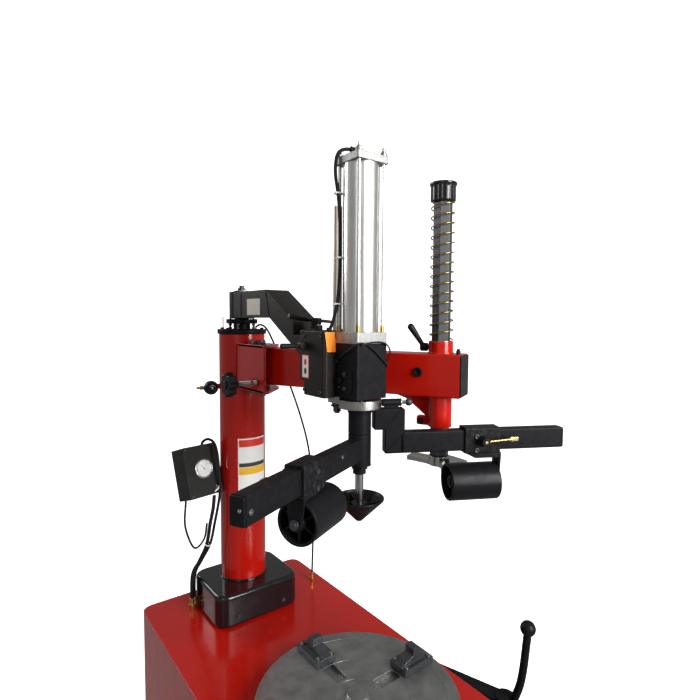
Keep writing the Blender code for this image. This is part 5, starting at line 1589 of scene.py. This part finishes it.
def camera():
    data = bpy.data.cameras.new("camera")
    data.sensor_width = 36
    data.lens = CAMERA_LENS
    obj = bpy.data.objects.new("camera", data)
    bpy.context.scene.collection.objects.link(obj)
    level = Vector((cos(CAMERA_AZIMUTH), -sin(CAMERA_AZIMUTH), 0))
    ahead = Vector(
        (sin(CAMERA_AZIMUTH) * cos(CAMERA_DOWN), cos(CAMERA_AZIMUTH) * cos(CAMERA_DOWN), -sin(CAMERA_DOWN))
    )
    up = level.cross(ahead)
    right = cos(CAMERA_ROLL) * level + sin(CAMERA_ROLL) * up
    up = cos(CAMERA_ROLL) * up - sin(CAMERA_ROLL) * level
    obj.matrix_world = Matrix.Translation(CAMERA_PLACE) @ Matrix((right, up, -ahead)).transposed().to_4x4()
    bpy.context.scene.camera = obj


def area_light(name, place, aim, size, power, colour=(1.0, 1.0, 1.0)):
    data = bpy.data.lights.new(name, "AREA")
    data.shape = "RECTANGLE"
    data.size, data.size_y = size
    data.energy = power
    data.color = colour
    obj = bpy.data.objects.new(name, data)
    obj.location = place
    obj.rotation_euler = (Vector(aim) - Vector(place)).to_track_quat("-Z", "Y").to_euler()
    obj.visible_camera = False
    bpy.context.scene.collection.objects.link(obj)


def studio():
    """A pale round sweep, soft boxes and an even white surround."""
    radius, wall = 6.0, 2.5
    profile = [(0, 0), (0.5, 0), (radius - wall, 0)]
    for step in range(1, 13):
        angle = pi / 2 * step / 12
        profile.append((radius - wall + wall * sin(angle), wall - wall * cos(angle)))
    profile.append((radius, 9.0))
    bm = bmesh.new()
    sides = 96
    turns = [2 * pi * i / sides for i in range(sides)]
    rings = [[bm.verts.new((r * cos(turn), r * sin(turn), z)) for turn in turns] for r, z in profile[1:]]
    bm.faces.new(rings[0])
    for low, high in zip(rings, rings[1:]):
        for i in range(sides):
            after = (i + 1) % sides
            bm.faces.new((low[i], low[after], high[after], high[i]))
    fixed(bm)
    bm.faces.ensure_lookup_table()
    if bm.faces[0].normal.z < 0:
        bmesh.ops.reverse_faces(bm, faces=bm.faces)
    mesh = bpy.data.meshes.new("sweep")
    bm.to_mesh(mesh)
    bm.free()
    mesh.shade_smooth()
    mesh.set_sharp_from_angle(angle=radians(5))
    obj = bpy.data.objects.new("studio_sweep", mesh)
    bpy.context.scene.collection.objects.link(obj)
    white = look("studio_white", (0.86, 0.86, 0.86), 0.8, mottle=(0.6, 0.01), grain=(20.0, 0.0))
    shader = white.node_tree.nodes["Principled BSDF"]
    shader.inputs["Emission Color"].default_value = (1, 1, 1, 1)
    shader.inputs["Emission Strength"].default_value = 1.0
    mesh.materials.append(white)
    obj.visible_glossy = False
    obj.visible_diffuse = False
    obj.visible_shadow = False
    world = bpy.data.worlds.new("world")
    bpy.context.scene.world = world
    world.use_nodes = True
    world.node_tree.nodes["Background"].inputs["Color"].default_value = (1, 1, 1, 1)
    world.node_tree.nodes["Background"].inputs["Strength"].default_value = 0.30
    area_light("key", (0.6, -3.0, 2.3), (0, 0.2, 1.3), (1.6, 2.4), 230)
    area_light("fill", (-2.8, -1.8, 2.6), (0, 0.2, 1.3), (1.0, 2.4), 18)
    area_light("back", (-1.4, 3.2, 2.8), (0, 0.2, 1.2), (1.6, 1.6), 45)
    bpy.context.scene.view_settings.view_transform = "Standard"


camera()
base_and_cabinet()
column_and_foot()
column_labels()
column_cap()
arm_bracket()
gauge()
regulator()
stand_hoses()
drive()
turntable()
pedals()
bead_breaker()
swing_arm()
hex_shaft()
return_spring()
mount_head()
shaft_lock_lever()
stop_knob()
gooseneck()
press_housing()
press_block()
press_cylinder()
control_levers()
press_ram()
right_arm()
left_arm()
centring_cone()
studio()
